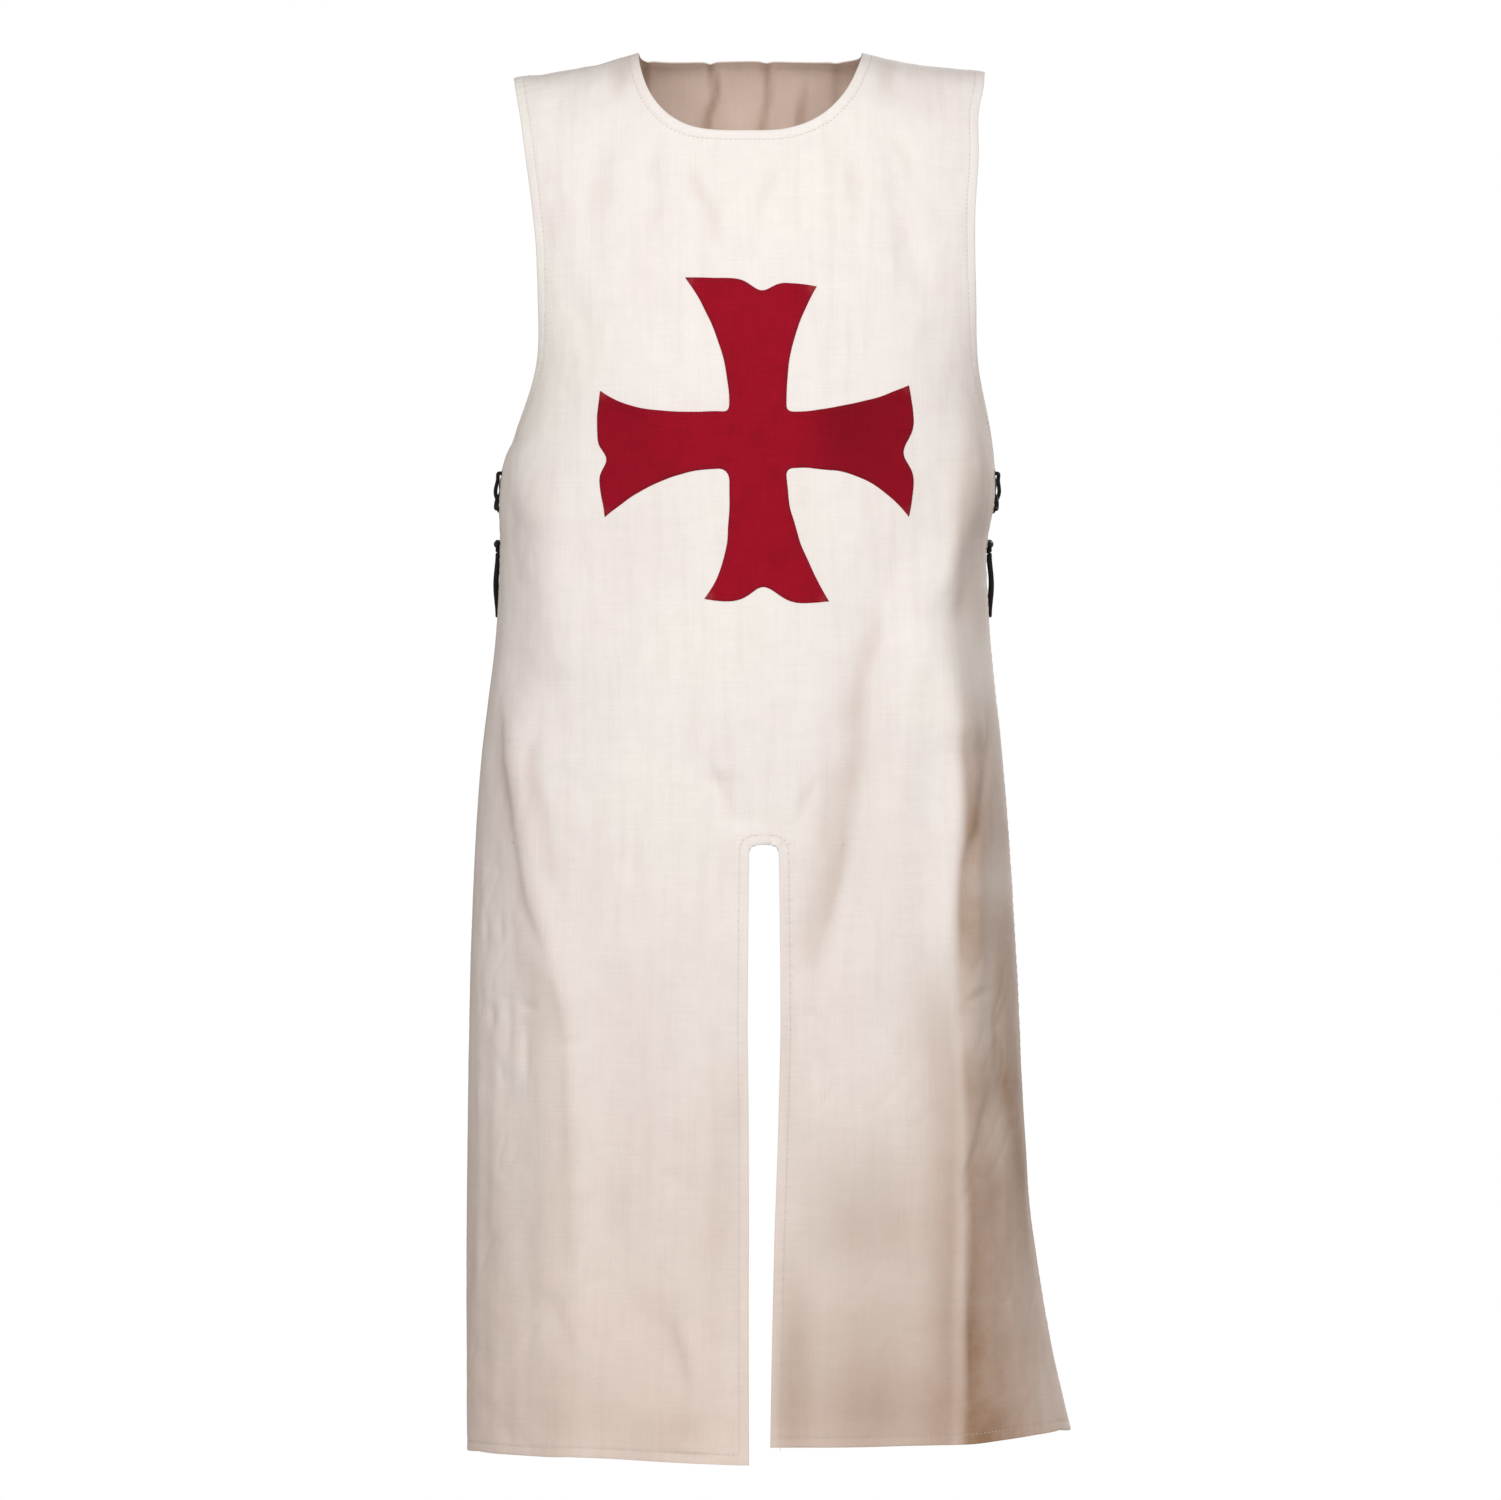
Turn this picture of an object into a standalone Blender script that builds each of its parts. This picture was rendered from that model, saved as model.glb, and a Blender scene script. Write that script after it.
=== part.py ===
"""A knight's surcoat in the shape it keeps when worn: two long panels of cotton canvas, joined at the
shoulders, open down both sides and laced together at the waist, with a cross sewn on the breast.

The frame: metres, +Z up, the wearer faces -Y and the wearer's left is +X. The origin lies on the shoulder
line, midway between the two neck points, which is where the wearer's shoulders hold the garment up.

Each panel hangs in sections. A section is a rounded curve from the centre line (across = 0) to the edge of
the cloth (across = -1 at the wearer's right, +1 at the left), and the rows of the tables below give its
sizes from the shoulder seam down to the hem. "down" is a length measured along the cloth from the seam.
"""

import math

import bmesh
import bpy
import numpy as np

# --- driving dimensions, in metres -------------------------------------------------------------------

CLOTH = 0.0018  # thickness of the cloth wall
SEAM_GAP = 0.0003  # between pieces that meet
SHOULDER_HALF_WIDTH = 0.2115  # from the centre line to a shoulder tip
SHOULDER_FALL = {-1: 0.0213, 1: 0.0162}  # how far the right and left tips lie below the neck points
FALL_FADES = 0.34  # length of cloth over which the shoulder's slope dies away
NECK_HALF_WIDTH = 0.1005  # from the centre line to a neck point
NECK_SQUARENESS = 2.4  # 2 is a round neckline, more has a flatter bottom
NECK_RISE = {"front": 0.0090, "back": 0.0150}  # how far the neck of the body lifts the cloth there

SLIT_ARCH = 0.009  # height of a slit's rounded top
HEM_STARTS = 0.55  # share of the skirt over which the hem's slant builds up
HEM_STEP = 0.021  # across value from which a flap's own hem counts, beside the centre line

EYELET_RADIUS = 0.0029
EYELET_INSET = 0.0120  # from the side edge of a panel to its eyelets
EYELET_DROPS = (0.381, 0.412, 0.443)  # below the origin, the same on both panels
EYELET_SIDES = 12
EYELET_PEG = 0.008  # length of the peg that cuts an eyelet

LACE_DIAMETER = 0.0036
LACE_SIDES = 2  # bevel resolution
LACE_BEND = 0.0035  # radius of the lace's turn through an eyelet, and its height over the cloth
LACE_OVER, LACE_UNDER = 0.0024, -0.0017  # shift of the two strands where they cross in the side gap
STRAND_BOW = 0.28  # how near its middle a strand inside the gap has its two shoulders
STRAND_SHARES = (0.18, 0.82)  # where a strand outside the cloth passes the two side edges
TWIST_RADIUS = 0.0020
TWIST_HALF_LENGTH = 0.0085
TWIST_TURNS = 1.5
END_BEND = 0.0040  # radius in which a lace end turns down out of the knot
END_BOW = 0.0020  # how far an end swings away from the cloth
END_LEANS = {"front": -0.02, "back": 0.03}  # slope of an end forwards (-) or backwards (+)
LACE_END_LENGTHS = {"front": 0.058, "back": 0.052}

CROSS_CLOTH = 0.0012
CROSS_CENTRE = (0.0065, -0.3579)  # x and z
CROSS_HALF_WAIST = 0.0247  # of an arm where it leaves the centre
CROSS_PRISM = (0.25, 0.03)  # reach of its cutting prism in front of the shoulder line
CROSS_MARGIN = 0.05  # of panel grid kept round it for the cut
CROSS_SIDE_POINTS = 5  # along each hollow side of an arm
CROSS_END_POINTS = 9  # along the end of an arm
# Each arm ends in two horns, the first on its left seen from the centre. reach is the horn's distance along
# the arm, spread its distance from the arm's middle line, flare the power with which the side swings out to
# it. The end swells between the horns and has a notch at notch_at, so deep and so wide.
CROSS_COLUMNS = (
    "turn", "reach_1", "spread_1", "flare_1", "reach_2", "spread_2", "flare_2",
    "swell", "notch", "notch_at", "notch_width",
)
CROSS_ARMS = (
    (90, 0.1424, 0.0637, 2.1, 0.1341, 0.0510, 2.4, 0.0022, 0.0086, 0.003, 0.012),
    (0, 0.1321, 0.0485, 2.0, 0.1317, 0.0666, 3.2, 0.0060, 0.0108, 0.010, 0.015),
    (-90, 0.1404, 0.0617, 1.9, 0.1385, 0.0463, 3.8, 0.0032, 0.0149, -0.005, 0.016),
    (180, 0.1337, 0.0666, 2.2, 0.1377, 0.0443, 4.4, 0.0044, 0.0080, -0.016, 0.010),
)

# --- sections ----------------------------------------------------------------------------------------
# drop        height of the section below the origin, on the centre line
# depth       from the shoulder line to the middle of the panel, forwards or backwards
# right, left distance of the panel's side edges from the plane x = 0
# board       how flat the section is: the side edge's depth over the middle's, 0 where it wraps to the side
# square_r/_l 2 is an ellipse, more is flatter in the middle and turns faster at the corner
# centre      x of the centre line, which wanders as the cloth hangs

SECTION_COLUMNS = ("drop", "depth", "right", "left", "board", "square_r", "square_l", "centre")
FRONT_SECTIONS = (
    (0.000, 0.000, 0.2080, 0.2060, 0.62, 2.2, 2.2, 0.0000),
    (0.002, 0.010, 0.2120, 0.2100, 0.62, 2.2, 2.2, 0.0000),
    (0.007, 0.031, 0.2115, 0.2095, 0.62, 2.2, 2.2, 0.0000),
    (0.022, 0.058, 0.2094, 0.2080, 0.64, 2.2, 2.2, 0.0000),
    (0.050, 0.079, 0.2047, 0.2027, 0.68, 2.2, 2.2, 0.0000),
    (0.090, 0.093, 0.1995, 0.2022, 0.72, 2.3, 2.3, 0.0010),
    (0.150, 0.110, 0.1922, 0.1985, 0.72, 2.4, 2.4, 0.0020),
    (0.225, 0.124, 0.1880, 0.1993, 0.66, 2.5, 2.5, 0.0030),
    (0.290, 0.130, 0.1905, 0.2024, 0.52, 2.6, 2.6, 0.0045),
    (0.345, 0.132, 0.2100, 0.2145, 0.28, 2.6, 2.6, 0.0060),
    (0.372, 0.132, 0.2212, 0.2185, 0.17, 2.6, 2.6, 0.0065),
    (0.400, 0.132, 0.2250, 0.2190, 0.12, 2.6, 2.7, 0.0070),
    (0.445, 0.131, 0.2245, 0.2120, 0.12, 2.6, 2.8, 0.0080),
    (0.510, 0.133, 0.2269, 0.2135, 0.15, 2.6, 3.0, 0.0095),
    (0.640, 0.139, 0.2412, 0.2258, 0.17, 2.7, 3.4, 0.0112),
    (0.800, 0.146, 0.2499, 0.2368, 0.19, 2.8, 3.6, 0.0118),
    (0.960, 0.153, 0.2527, 0.2447, 0.21, 2.8, 3.6, 0.0112),
    (1.060, 0.156, 0.2535, 0.2529, 0.22, 2.8, 3.5, 0.0096),
    (1.150, 0.159, 0.2535, 0.2667, 0.22, 2.8, 3.3, 0.0086),
    (1.247, 0.162, 0.2527, 0.2890, 0.22, 2.7, 3.1, 0.0079),
)
BACK_SECTIONS = (
    (0.000, 0.000, 0.2080, 0.2060, 0.62, 2.2, 2.2, 0.0000),
    (0.002, 0.010, 0.2115, 0.2095, 0.62, 2.2, 2.2, 0.0000),
    (0.006, 0.034, 0.2105, 0.2085, 0.62, 2.2, 2.2, 0.0000),
    (0.016, 0.064, 0.2070, 0.2050, 0.64, 2.2, 2.2, 0.0000),
    (0.042, 0.088, 0.2020, 0.2000, 0.68, 2.2, 2.2, 0.0000),
    (0.090, 0.106, 0.1927, 0.1937, 0.72, 2.3, 2.3, 0.0010),
    (0.150, 0.120, 0.1847, 0.1877, 0.72, 2.4, 2.4, 0.0020),
    (0.225, 0.127, 0.1817, 0.1897, 0.66, 2.5, 2.5, 0.0030),
    (0.290, 0.125, 0.1847, 0.1952, 0.54, 2.6, 2.6, 0.0045),
    (0.345, 0.120, 0.2070, 0.2115, 0.30, 2.6, 2.6, 0.0060),
    (0.372, 0.118, 0.2192, 0.2170, 0.19, 2.6, 2.6, 0.0065),
    (0.400, 0.116, 0.2245, 0.2185, 0.13, 2.6, 2.6, 0.0070),
    (0.445, 0.115, 0.2243, 0.2118, 0.13, 2.6, 2.6, 0.0080),
    (0.510, 0.119, 0.2262, 0.2117, 0.17, 2.6, 2.6, 0.0095),
    (0.640, 0.130, 0.2372, 0.2217, 0.20, 2.7, 2.7, 0.0110),
    (0.800, 0.139, 0.2457, 0.2317, 0.22, 2.8, 2.8, 0.0115),
    (0.960, 0.145, 0.2482, 0.2397, 0.24, 2.8, 2.8, 0.0112),
    (1.110, 0.150, 0.2487, 0.2487, 0.25, 2.8, 2.8, 0.0100),
    (1.240, 0.154, 0.2477, 0.2667, 0.25, 2.7, 2.7, 0.0090),
)

# --- folds -------------------------------------------------------------------------------------------
# from, to    the two ends of a fold's line, as x and drop below the origin
# spread      half its width, across the cloth
# height      how far it stands out (+) or sinks in (-)

FOLD_COLUMNS = ("from_x", "from_drop", "to_x", "to_drop", "spread", "height")
FRONT_FOLDS = (
    (-0.137, 0.085, -0.142, 0.200, 0.014, -0.0024),
    (-0.085, 0.090, -0.093, 0.190, 0.014, -0.0022),
    (-0.056, 0.090, -0.030, 0.215, 0.014, -0.0028),
    (0.034, 0.095, 0.008, 0.200, 0.014, -0.0028),
    (0.090, 0.085, 0.098, 0.205, 0.014, -0.0024),
    (0.124, 0.075, 0.152, 0.230, 0.014, -0.0026),
    (0.195, 0.345, 0.161, 0.505, 0.024, 0.0060),
    (0.160, 0.525, 0.187, 0.620, 0.024, 0.0070),
    (0.187, 0.620, 0.187, 1.300, 0.020, 0.0095),
    (0.150, 0.640, 0.142, 1.300, 0.030, -0.0070),
    (0.114, 0.490, 0.049, 0.830, 0.022, -0.0085),
    (0.142, 0.500, 0.100, 0.840, 0.030, 0.0050),
    (-0.185, 0.400, -0.166, 0.560, 0.028, 0.0060),
    (-0.205, 0.610, -0.168, 0.850, 0.024, 0.0080),
    (-0.166, 0.850, -0.163, 1.300, 0.024, 0.0080),
    (-0.118, 0.860, -0.112, 1.300, 0.034, -0.0050),
    (-0.026, 0.650, -0.004, 0.695, 0.012, -0.0030),
    (-0.080, 1.110, -0.056, 1.230, 0.018, -0.0045),
    (-0.172, 1.105, -0.152, 1.190, 0.016, -0.0030),
)
BACK_FOLDS = (
    (-0.034, 0.045, -0.040, 0.330, 0.014, -0.0050),
    (0.015, 0.045, 0.010, 0.360, 0.014, -0.0050),
    (0.053, 0.045, 0.062, 0.330, 0.016, -0.0050),
    (-0.190, 0.390, -0.150, 0.560, 0.028, 0.0060),
    (-0.150, 0.480, -0.160, 1.300, 0.026, 0.0100),
    (-0.070, 0.560, -0.090, 1.300, 0.032, -0.0090),
    (0.020, 0.400, 0.050, 0.680, 0.026, -0.0060),
    (0.090, 0.560, 0.110, 1.300, 0.032, -0.0090),
    (0.155, 0.480, 0.175, 1.300, 0.026, 0.0100),
)

# --- neckline, hem and slit --------------------------------------------------------------------------

NECK_DEPTH = {"front": 0.135, "back": 0.058}  # length of cloth cut away on the centre line
# across, and how much longer (+) or shorter (-) the cloth is cut there than at the lowest section
HEM_COLUMNS = ("across", "extra")
FRONT_HEM = (
    (-1.00, 0.0055), (-0.85, 0.0000), (-0.45, -0.0060), (-0.02, -0.0010),
    (0.02, -0.0163), (0.35, -0.0163), (0.70, -0.0203), (0.85, -0.0200), (1.00, -0.0130),
)
BACK_HEM = ((-1.00, 0.0000), (-0.02, 0.0040), (0.02, 0.0040), (1.00, -0.0100))
# drop below the origin, and half the slit's width there; the first row is the slit's top
SLIT_COLUMNS = ("drop", "half")
FRONT_SLIT = ((0.7103, 0.0128), (0.800, 0.0138), (0.870, 0.0143), (1.050, 0.0110), (1.260, 0.0090))
BACK_SLIT = ((0.7080, 0.0180), (0.870, 0.0190), (1.050, 0.0175), (1.260, 0.0165))

# --- mesh sizes --------------------------------------------------------------------------------------

NECK_COLUMNS = 7  # on each half of a panel, under the neckline
SHOULDER_COLUMNS = 5  # on each half, under the shoulder seam
COLUMNS_EVEN_OUT = 0.42  # length of cloth by which the columns have their lower spacing
EDGE_CROWDING = 1.25  # 1 spaces the lower columns evenly, more crowds them towards the side edge
YOKE_ROWS = (0.0, 0.009, 0.024, 0.045, 0.070, 0.100, 0.130)  # lengths down from the top edge
BODY_DROPS = (  # heights of the rows from there to the slit, closer together round the lacing
    0.116, 0.156, 0.196, 0.236, 0.276, 0.313, 0.343, 0.366, 0.385, 0.403, 0.421, 0.440, 0.462,
    0.492, 0.530, 0.575, 0.620, 0.665,
)
ARCH_ROWS = (0.15, 1.0)  # shares of the slit's arch
SKIRT_STARTS = 0.035  # from the slit's top to the next row
SKIRT_ROWS = 14  # from there to the hem
FINE_ROWS = 600  # rows of the table that the sections are read from


def eased(t):
    """0 up to t = 0, 1 from t = 1, and a smooth rise between."""
    t = np.clip(t, 0.0, 1.0)
    return t * t * (3.0 - 2.0 * t)


def unit(vectors):
    return vectors / np.linalg.norm(vectors, axis=-1, keepdims=True)


def smooth_through(knots, values, at):
    """A smooth curve through (knot, value) pairs, read at other places: cubic pieces with shared slopes."""
    slopes = np.gradient(values, knots)
    i = np.clip(np.searchsorted(knots, at) - 1, 0, len(knots) - 2)
    width = knots[i + 1] - knots[i]
    t = np.clip((at - knots[i]) / width, 0.0, 1.0)
    rise = eased(t)
    bend = slopes[i] * t * (1 - t) ** 2 - slopes[i + 1] * t * t * (1 - t)
    return values[i] * (1 - rise) + values[i + 1] * rise + width * bend


class Panel:
    """One panel's surface: point(across, down) gives the outer face of the cloth."""

    def __init__(self, name, facing, sections, folds, hem, slit):
        self.name, self.facing = name, facing  # facing is -1 for the front panel, +1 for the back
        self.neck_depth = NECK_DEPTH[name]
        self.hem = dict(zip(HEM_COLUMNS, np.array(hem).T))
        self.slit = dict(zip(SLIT_COLUMNS, np.array(slit).T))
        table = dict(zip(SECTION_COLUMNS, np.array(sections).T))
        steps = np.hypot(np.diff(table["drop"]), np.diff(table["depth"]))
        knots = np.concatenate([[0.0], np.cumsum(steps)])
        self.length = knots[-1]
        self.downs = np.linspace(0.0, self.length, FINE_ROWS)
        self.fine = {column: smooth_through(knots, table[column], self.downs) for column in SECTION_COLUMNS}
        self.folds = [self.fold_line(dict(zip(FOLD_COLUMNS, row))) for row in folds]

    def at(self, column, down):
        """One column of the section table at any length down the cloth, run on past its last row."""
        beyond = np.maximum(down - self.length, 0.0) if column == "drop" else 0.0
        return np.interp(down, self.downs, self.fine[column]) + beyond

    def down_at(self, drop):
        """The length down the cloth at which the centre line is that far below the origin."""
        last = self.fine["drop"][-1]
        return np.interp(drop, self.fine["drop"], self.downs) + np.maximum(drop - last, 0.0)

    def side(self, sign, down):
        """(half width, squareness, angle of the side edge) of a section, on the side of that sign."""
        left, centre = np.asarray(sign) >= 0, self.at("centre", down)
        width = np.where(left, self.at("left", down) - centre, self.at("right", down) + centre)
        square = np.where(left, self.at("square_l", down), self.at("square_r", down))
        angle = np.arcsin((1.0 - self.at("board", down) ** square) ** (1.0 / square))
        return width, square, angle

    def across_at(self, x, down):
        """The across value of the point that lies at x, on the section at down."""
        offset = x - self.at("centre", down)
        width, _, angle = self.side(offset, down)
        share = np.clip(np.abs(offset) / width, 0.0, 1.0)
        return np.sign(offset) * np.arcsin(share * np.sin(angle)) / angle

    def bare(self, across, down):
        """The surface without folds. On a section x runs with sin(across * angle), and the depth shrinks as
        (1 - sin ** square) ** (1 / square), so that the curve turns to the side. The shoulder's fall bends
        the whole section down towards the tips and fades away below.
        """
        width, square, angle = self.side(across, down)
        turn = np.minimum(np.sin(np.abs(across) * angle), 1.0)
        x = self.at("centre", down) + np.sign(across) * width * turn / np.sin(angle)
        y = self.facing * self.at("depth", down) * (1.0 - turn**square) ** (1.0 / square)
        beyond = (np.abs(x) - NECK_HALF_WIDTH) / (SHOULDER_HALF_WIDTH - NECK_HALF_WIDTH)
        fall = np.where(across < 0, SHOULDER_FALL[-1], SHOULDER_FALL[1]) * beyond * (1.8 - 0.8 * beyond)
        rise = NECK_RISE[self.name] * (1.0 - (x / NECK_HALF_WIDTH) ** 2)
        lift = np.where(beyond > 0, -fall, rise) * (1.0 - eased(down / FALL_FADES))
        return np.stack([x, y, lift - self.at("drop", down)], axis=-1)

    def fold_line(self, fold):
        """A fold's two ends turned from x and drop into across and down."""
        for end in ("from", "to"):
            down = float(self.down_at(fold[end + "_drop"]))
            fold[end + "_down"], fold[end + "_across"] = down, float(self.across_at(fold[end + "_x"], down))
        return fold

    def fold_height(self, across, down):
        """All folds added up: each is a ridge or trough round a slanting line that dies away at its ends."""
        width = self.side(across, down)[0]
        total = np.zeros(np.broadcast(across, down).shape)
        for fold in self.folds:
            along = (down - fold["from_down"]) / (fold["to_down"] - fold["from_down"])
            lean = fold["to_across"] - fold["from_across"]
            line = fold["from_across"] + lean * np.clip(along, 0.0, 1.0)
            away = (across - line) * width / fold["spread"]
            ends = eased(along * 3.0 + 0.5) * eased((1.0 - along) * 3.0 + 0.5)
            total = total + fold["height"] * np.exp(-(away**2)) * ends
        return total

    def frame(self, across, down):
        """The bare surface and its outward normal, found by short steps along it."""
        step = 1e-4
        here = self.bare(across, down)
        sideways = self.bare(across + step, down) - self.bare(across - step, down)
        downwards = self.bare(across, down + step) - self.bare(across, np.maximum(down - step, 0.0))
        return here, unit(np.cross(sideways, downwards) * self.facing)

    def point(self, across, down, out=0.0):
        """A point of the cloth's outer face, moved out by that much."""
        across, down = np.asarray(across, float), np.asarray(down, float)
        here, normal = self.frame(across, down)
        return here + normal * (self.fold_height(across, down) + out)[..., None]

    def neckline(self, share):
        """(x, down) of the neckline: share 0 at the centre, 1 at the neck point."""
        out = np.sin(share * np.pi / 2)
        down = self.neck_depth * (1.0 - out**NECK_SQUARENESS) ** (1.0 / NECK_SQUARENESS)
        return NECK_HALF_WIDTH * out, np.where(share >= 1.0, 0.0, down)

    def slit_half(self, drop):
        """Half the slit's width at a drop: nothing above its top, then a rounded arch."""
        below = np.clip((drop - self.slit["drop"][0]) / SLIT_ARCH, 0.0, 1.0)
        return np.sqrt(1.0 - (1.0 - below) ** 2) * np.interp(drop, self.slit["drop"], self.slit["half"])

    def rows(self):
        """Lengths down the cloth of the grid's rows, and the number of the row at the slit's top."""
        slit_top = float(self.down_at(self.slit["drop"][0]))
        body = [*self.down_at(np.array(BODY_DROPS)), slit_top]
        skirt = np.linspace(slit_top + SKIRT_STARTS, self.length, SKIRT_ROWS)
        arch = slit_top + SLIT_ARCH * np.array(ARCH_ROWS)
        return np.concatenate([YOKE_ROWS, body, arch, skirt]), len(YOKE_ROWS) + len(BODY_DROPS)

    def half_grid(self, sign):
        """(across, down) of every grid point of one half. The columns start at even steps round the neckline
        and along the seam, and reach their lower spacing at COLUMNS_EVEN_OUT; the slit pushes them aside.
        """
        x, neck_down = self.neckline(np.linspace(0.0, 1.0, NECK_COLUMNS + 1))
        under_neck = np.abs(self.across_at(sign * x, neck_down))
        under_seam = np.linspace(under_neck[-1], 1.0, SHOULDER_COLUMNS + 1)[1:]
        top = np.concatenate([under_neck, under_seam])
        top_down = np.concatenate([neck_down, np.zeros(SHOULDER_COLUMNS)])
        even = 1.0 - np.linspace(1.0, 0.0, len(top)) ** EDGE_CROWDING
        stations, slit_row = self.rows()
        rows = stations[:, None]
        down = rows + top_down * (1.0 - eased(rows / FALL_FADES))
        skirt = (rows - stations[slit_row]) / (self.length - stations[slit_row])
        beside_slit = sign * np.maximum(even, HEM_STEP)
        extra = np.interp(beside_slit, self.hem["across"], self.hem["extra"])
        down = down + extra * eased((skirt - 1.0 + HEM_STARTS) / HEM_STARTS)
        across = top + (even - top) * eased(rows / COLUMNS_EVEN_OUT)
        half = self.slit_half(self.at("drop", stations))
        inner = np.abs(self.across_at(self.at("centre", stations) + sign * half, stations))[:, None]
        return sign * (inner + across * (1.0 - inner)), down

    def edge(self, sign, drop):
        """Middle of the wall and outward normal at the side edge, at a height in the waist."""
        across, down = np.array(float(sign)), self.down_at(drop)
        here, normal = self.frame(across, down)
        return here + normal * (self.fold_height(across, down) - CLOTH / 2), normal

    def eyelet(self, sign, drop):
        """Middle of the wall, outward normal and direction to the side edge, at an eyelet."""
        down = self.down_at(drop)
        step = 1e-3
        speed = np.linalg.norm(self.point(sign, down) - self.point(sign * (1 - step), down)) / step
        across = sign * (1.0 - EYELET_INSET / speed)
        here, normal = self.frame(np.array(across), down)
        towards = unit(self.point(sign, down) - self.point(across, down))
        towards = unit(towards - normal * np.dot(towards, normal))
        return here + normal * (self.fold_height(np.array(across), down) - CLOTH / 2), normal, towards


# --- cloth -------------------------------------------------------------------------------------------


def grid(panel):
    """(across, down, triangles) of a panel: two half grids, joined down the centre above the slit. The
    triangles' corners run so that they face outwards.
    """
    slit_row = panel.rows()[1]
    halves = [panel.half_grid(sign) for sign in (-1, 1)]
    shape = halves[0][0].shape
    right = np.arange(shape[0] * shape[1]).reshape(shape)
    left = right + right.size
    left[: slit_row + 1, 0] = right[: slit_row + 1, 0]
    triangles = []
    for sign, index in ((-1, right), (1, left)):
        a, b, c, d = index[:-1, :-1], index[:-1, 1:], index[1:, 1:], index[1:, :-1]
        both = np.concatenate([np.stack([a, b, c], axis=-1), np.stack([a, c, d], axis=-1)]).reshape(-1, 3)
        triangles.append(both if sign * panel.facing > 0 else both[:, ::-1])
    across, down = (np.concatenate([half[i].ravel() for half in halves]) for i in (0, 1))
    return across, down, np.concatenate(triangles)


def sheet(panel, inside, outside, name, within=None):
    """A closed wall between the panel's face moved out by inside and by outside, with straight rims.
    within keeps only the triangles in an (x, z) box.
    """
    across, down, triangles = grid(panel)
    faces = [panel.point(across, down, out) for out in (inside, outside)]
    for points in faces:
        points[:, 1] = panel.facing * np.maximum(points[:, 1] * panel.facing, SEAM_GAP / 2)
    if within is not None:
        flat = faces[1][:, [0, 2]]
        inbox = np.all((flat > within[0]) & (flat < within[1]), axis=1)
        triangles = triangles[inbox[triangles].all(axis=1)]
    directed = {(int(t[i]), int(t[i - 2])) for t in triangles for i in range(3)}
    rim = np.array([edge for edge in sorted(directed) if edge[::-1] not in directed])
    total = len(across)
    a, b = rim.T
    closed = np.concatenate([
        triangles + total, triangles[:, ::-1],
        np.stack([b + total, a + total, a], axis=1), np.stack([b + total, a, b], axis=1),
    ])
    used, corners = np.unique(closed, return_inverse=True)
    data = bpy.data.meshes.new(name)
    data.from_pydata(np.concatenate(faces)[used].tolist(), [], corners.reshape(-1, 3).tolist())
    data.update()
    return data


def mesh_data(mesh, name):
    data = bpy.data.meshes.new(name)
    mesh.to_mesh(data)
    mesh.free()
    return data


def prism(mesh, outline, along):
    """A closed straight-sided body between an outline and its copy moved by a vector."""
    near = [mesh.verts.new(p) for p in outline]
    far = [mesh.verts.new(p + along) for p in outline]
    mesh.faces.new(near[::-1])
    mesh.faces.new(far)
    for a, b, c, d in zip(near, near[1:] + near[:1], far[1:] + far[:1], far):
        mesh.faces.new((a, b, c, d))


def eyelet_cutter(panel):
    """Six round pegs through a panel's side edges, one at each eyelet."""
    mesh = bmesh.new()
    turns = np.linspace(0.0, 2 * np.pi, EYELET_SIDES, endpoint=False)[:, None]
    for sign in (-1, 1):
        for drop in EYELET_DROPS:
            centre, normal, towards = panel.eyelet(sign, drop)
            up = np.cross(normal, towards)
            ring = centre + EYELET_RADIUS * (np.cos(turns) * towards + np.sin(turns) * up)
            prism(mesh, ring - normal * EYELET_PEG / 2, normal * EYELET_PEG)
    bmesh.ops.recalc_face_normals(mesh, faces=mesh.faces)
    return mesh


def cross_outline():
    """The cross as flat (x, z) points round its edge: each arm swings out to its first horn, crosses the
    notched end to its second horn and swings back in.
    """
    outline = []
    for row in CROSS_ARMS:
        arm = dict(zip(CROSS_COLUMNS, row))
        turn = math.radians(arm["turn"])
        along_arm = np.array([math.cos(turn), math.sin(turn)])
        to_first = np.array([-math.sin(turn), math.cos(turn)])
        t = np.linspace(0.0, 1.0, CROSS_SIDE_POINTS + 1)
        sides = []
        for horn in ("1", "2"):
            reach, spread = arm["reach_" + horn], arm["spread_" + horn]
            out = CROSS_HALF_WAIST + (spread - CROSS_HALF_WAIST) * t ** arm["flare_" + horn]
            sides.append(np.stack([CROSS_HALF_WAIST + (reach - CROSS_HALF_WAIST) * t, out], axis=1))
        v = np.linspace(arm["spread_1"], -arm["spread_2"], CROSS_END_POINTS + 2)[1:-1]
        share = (arm["spread_1"] - v) / (arm["spread_1"] + arm["spread_2"])
        end = arm["reach_1"] + (arm["reach_2"] - arm["reach_1"]) * share
        end = end + arm["swell"] * 4 * share * (1 - share)
        end = end - arm["notch"] * np.exp(-(((v + arm["notch_at"]) / arm["notch_width"]) ** 2))
        local = np.concatenate([sides[0][1:], np.stack([end, v], axis=1), sides[1][::-1] * (1, -1)])
        outline.append(local[:, :1] * along_arm + local[:, 1:] * to_first)
    return np.concatenate(outline) + np.array(CROSS_CENTRE)


def cross_cutter():
    mesh = bmesh.new()
    flat = cross_outline()
    front = np.stack([flat[:, 0], np.full(len(flat), -CROSS_PRISM[0]), flat[:, 1]], axis=1)
    prism(mesh, front, np.array([0.0, CROSS_PRISM[0] - CROSS_PRISM[1], 0.0]))
    bmesh.ops.recalc_face_normals(mesh, faces=mesh.faces)
    return mesh


def cross_box():
    """The (x, z) box of the cross with a margin."""
    flat = cross_outline()
    return flat.min(axis=0) - CROSS_MARGIN, flat.max(axis=0) + CROSS_MARGIN


# --- laces -------------------------------------------------------------------------------------------


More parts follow.
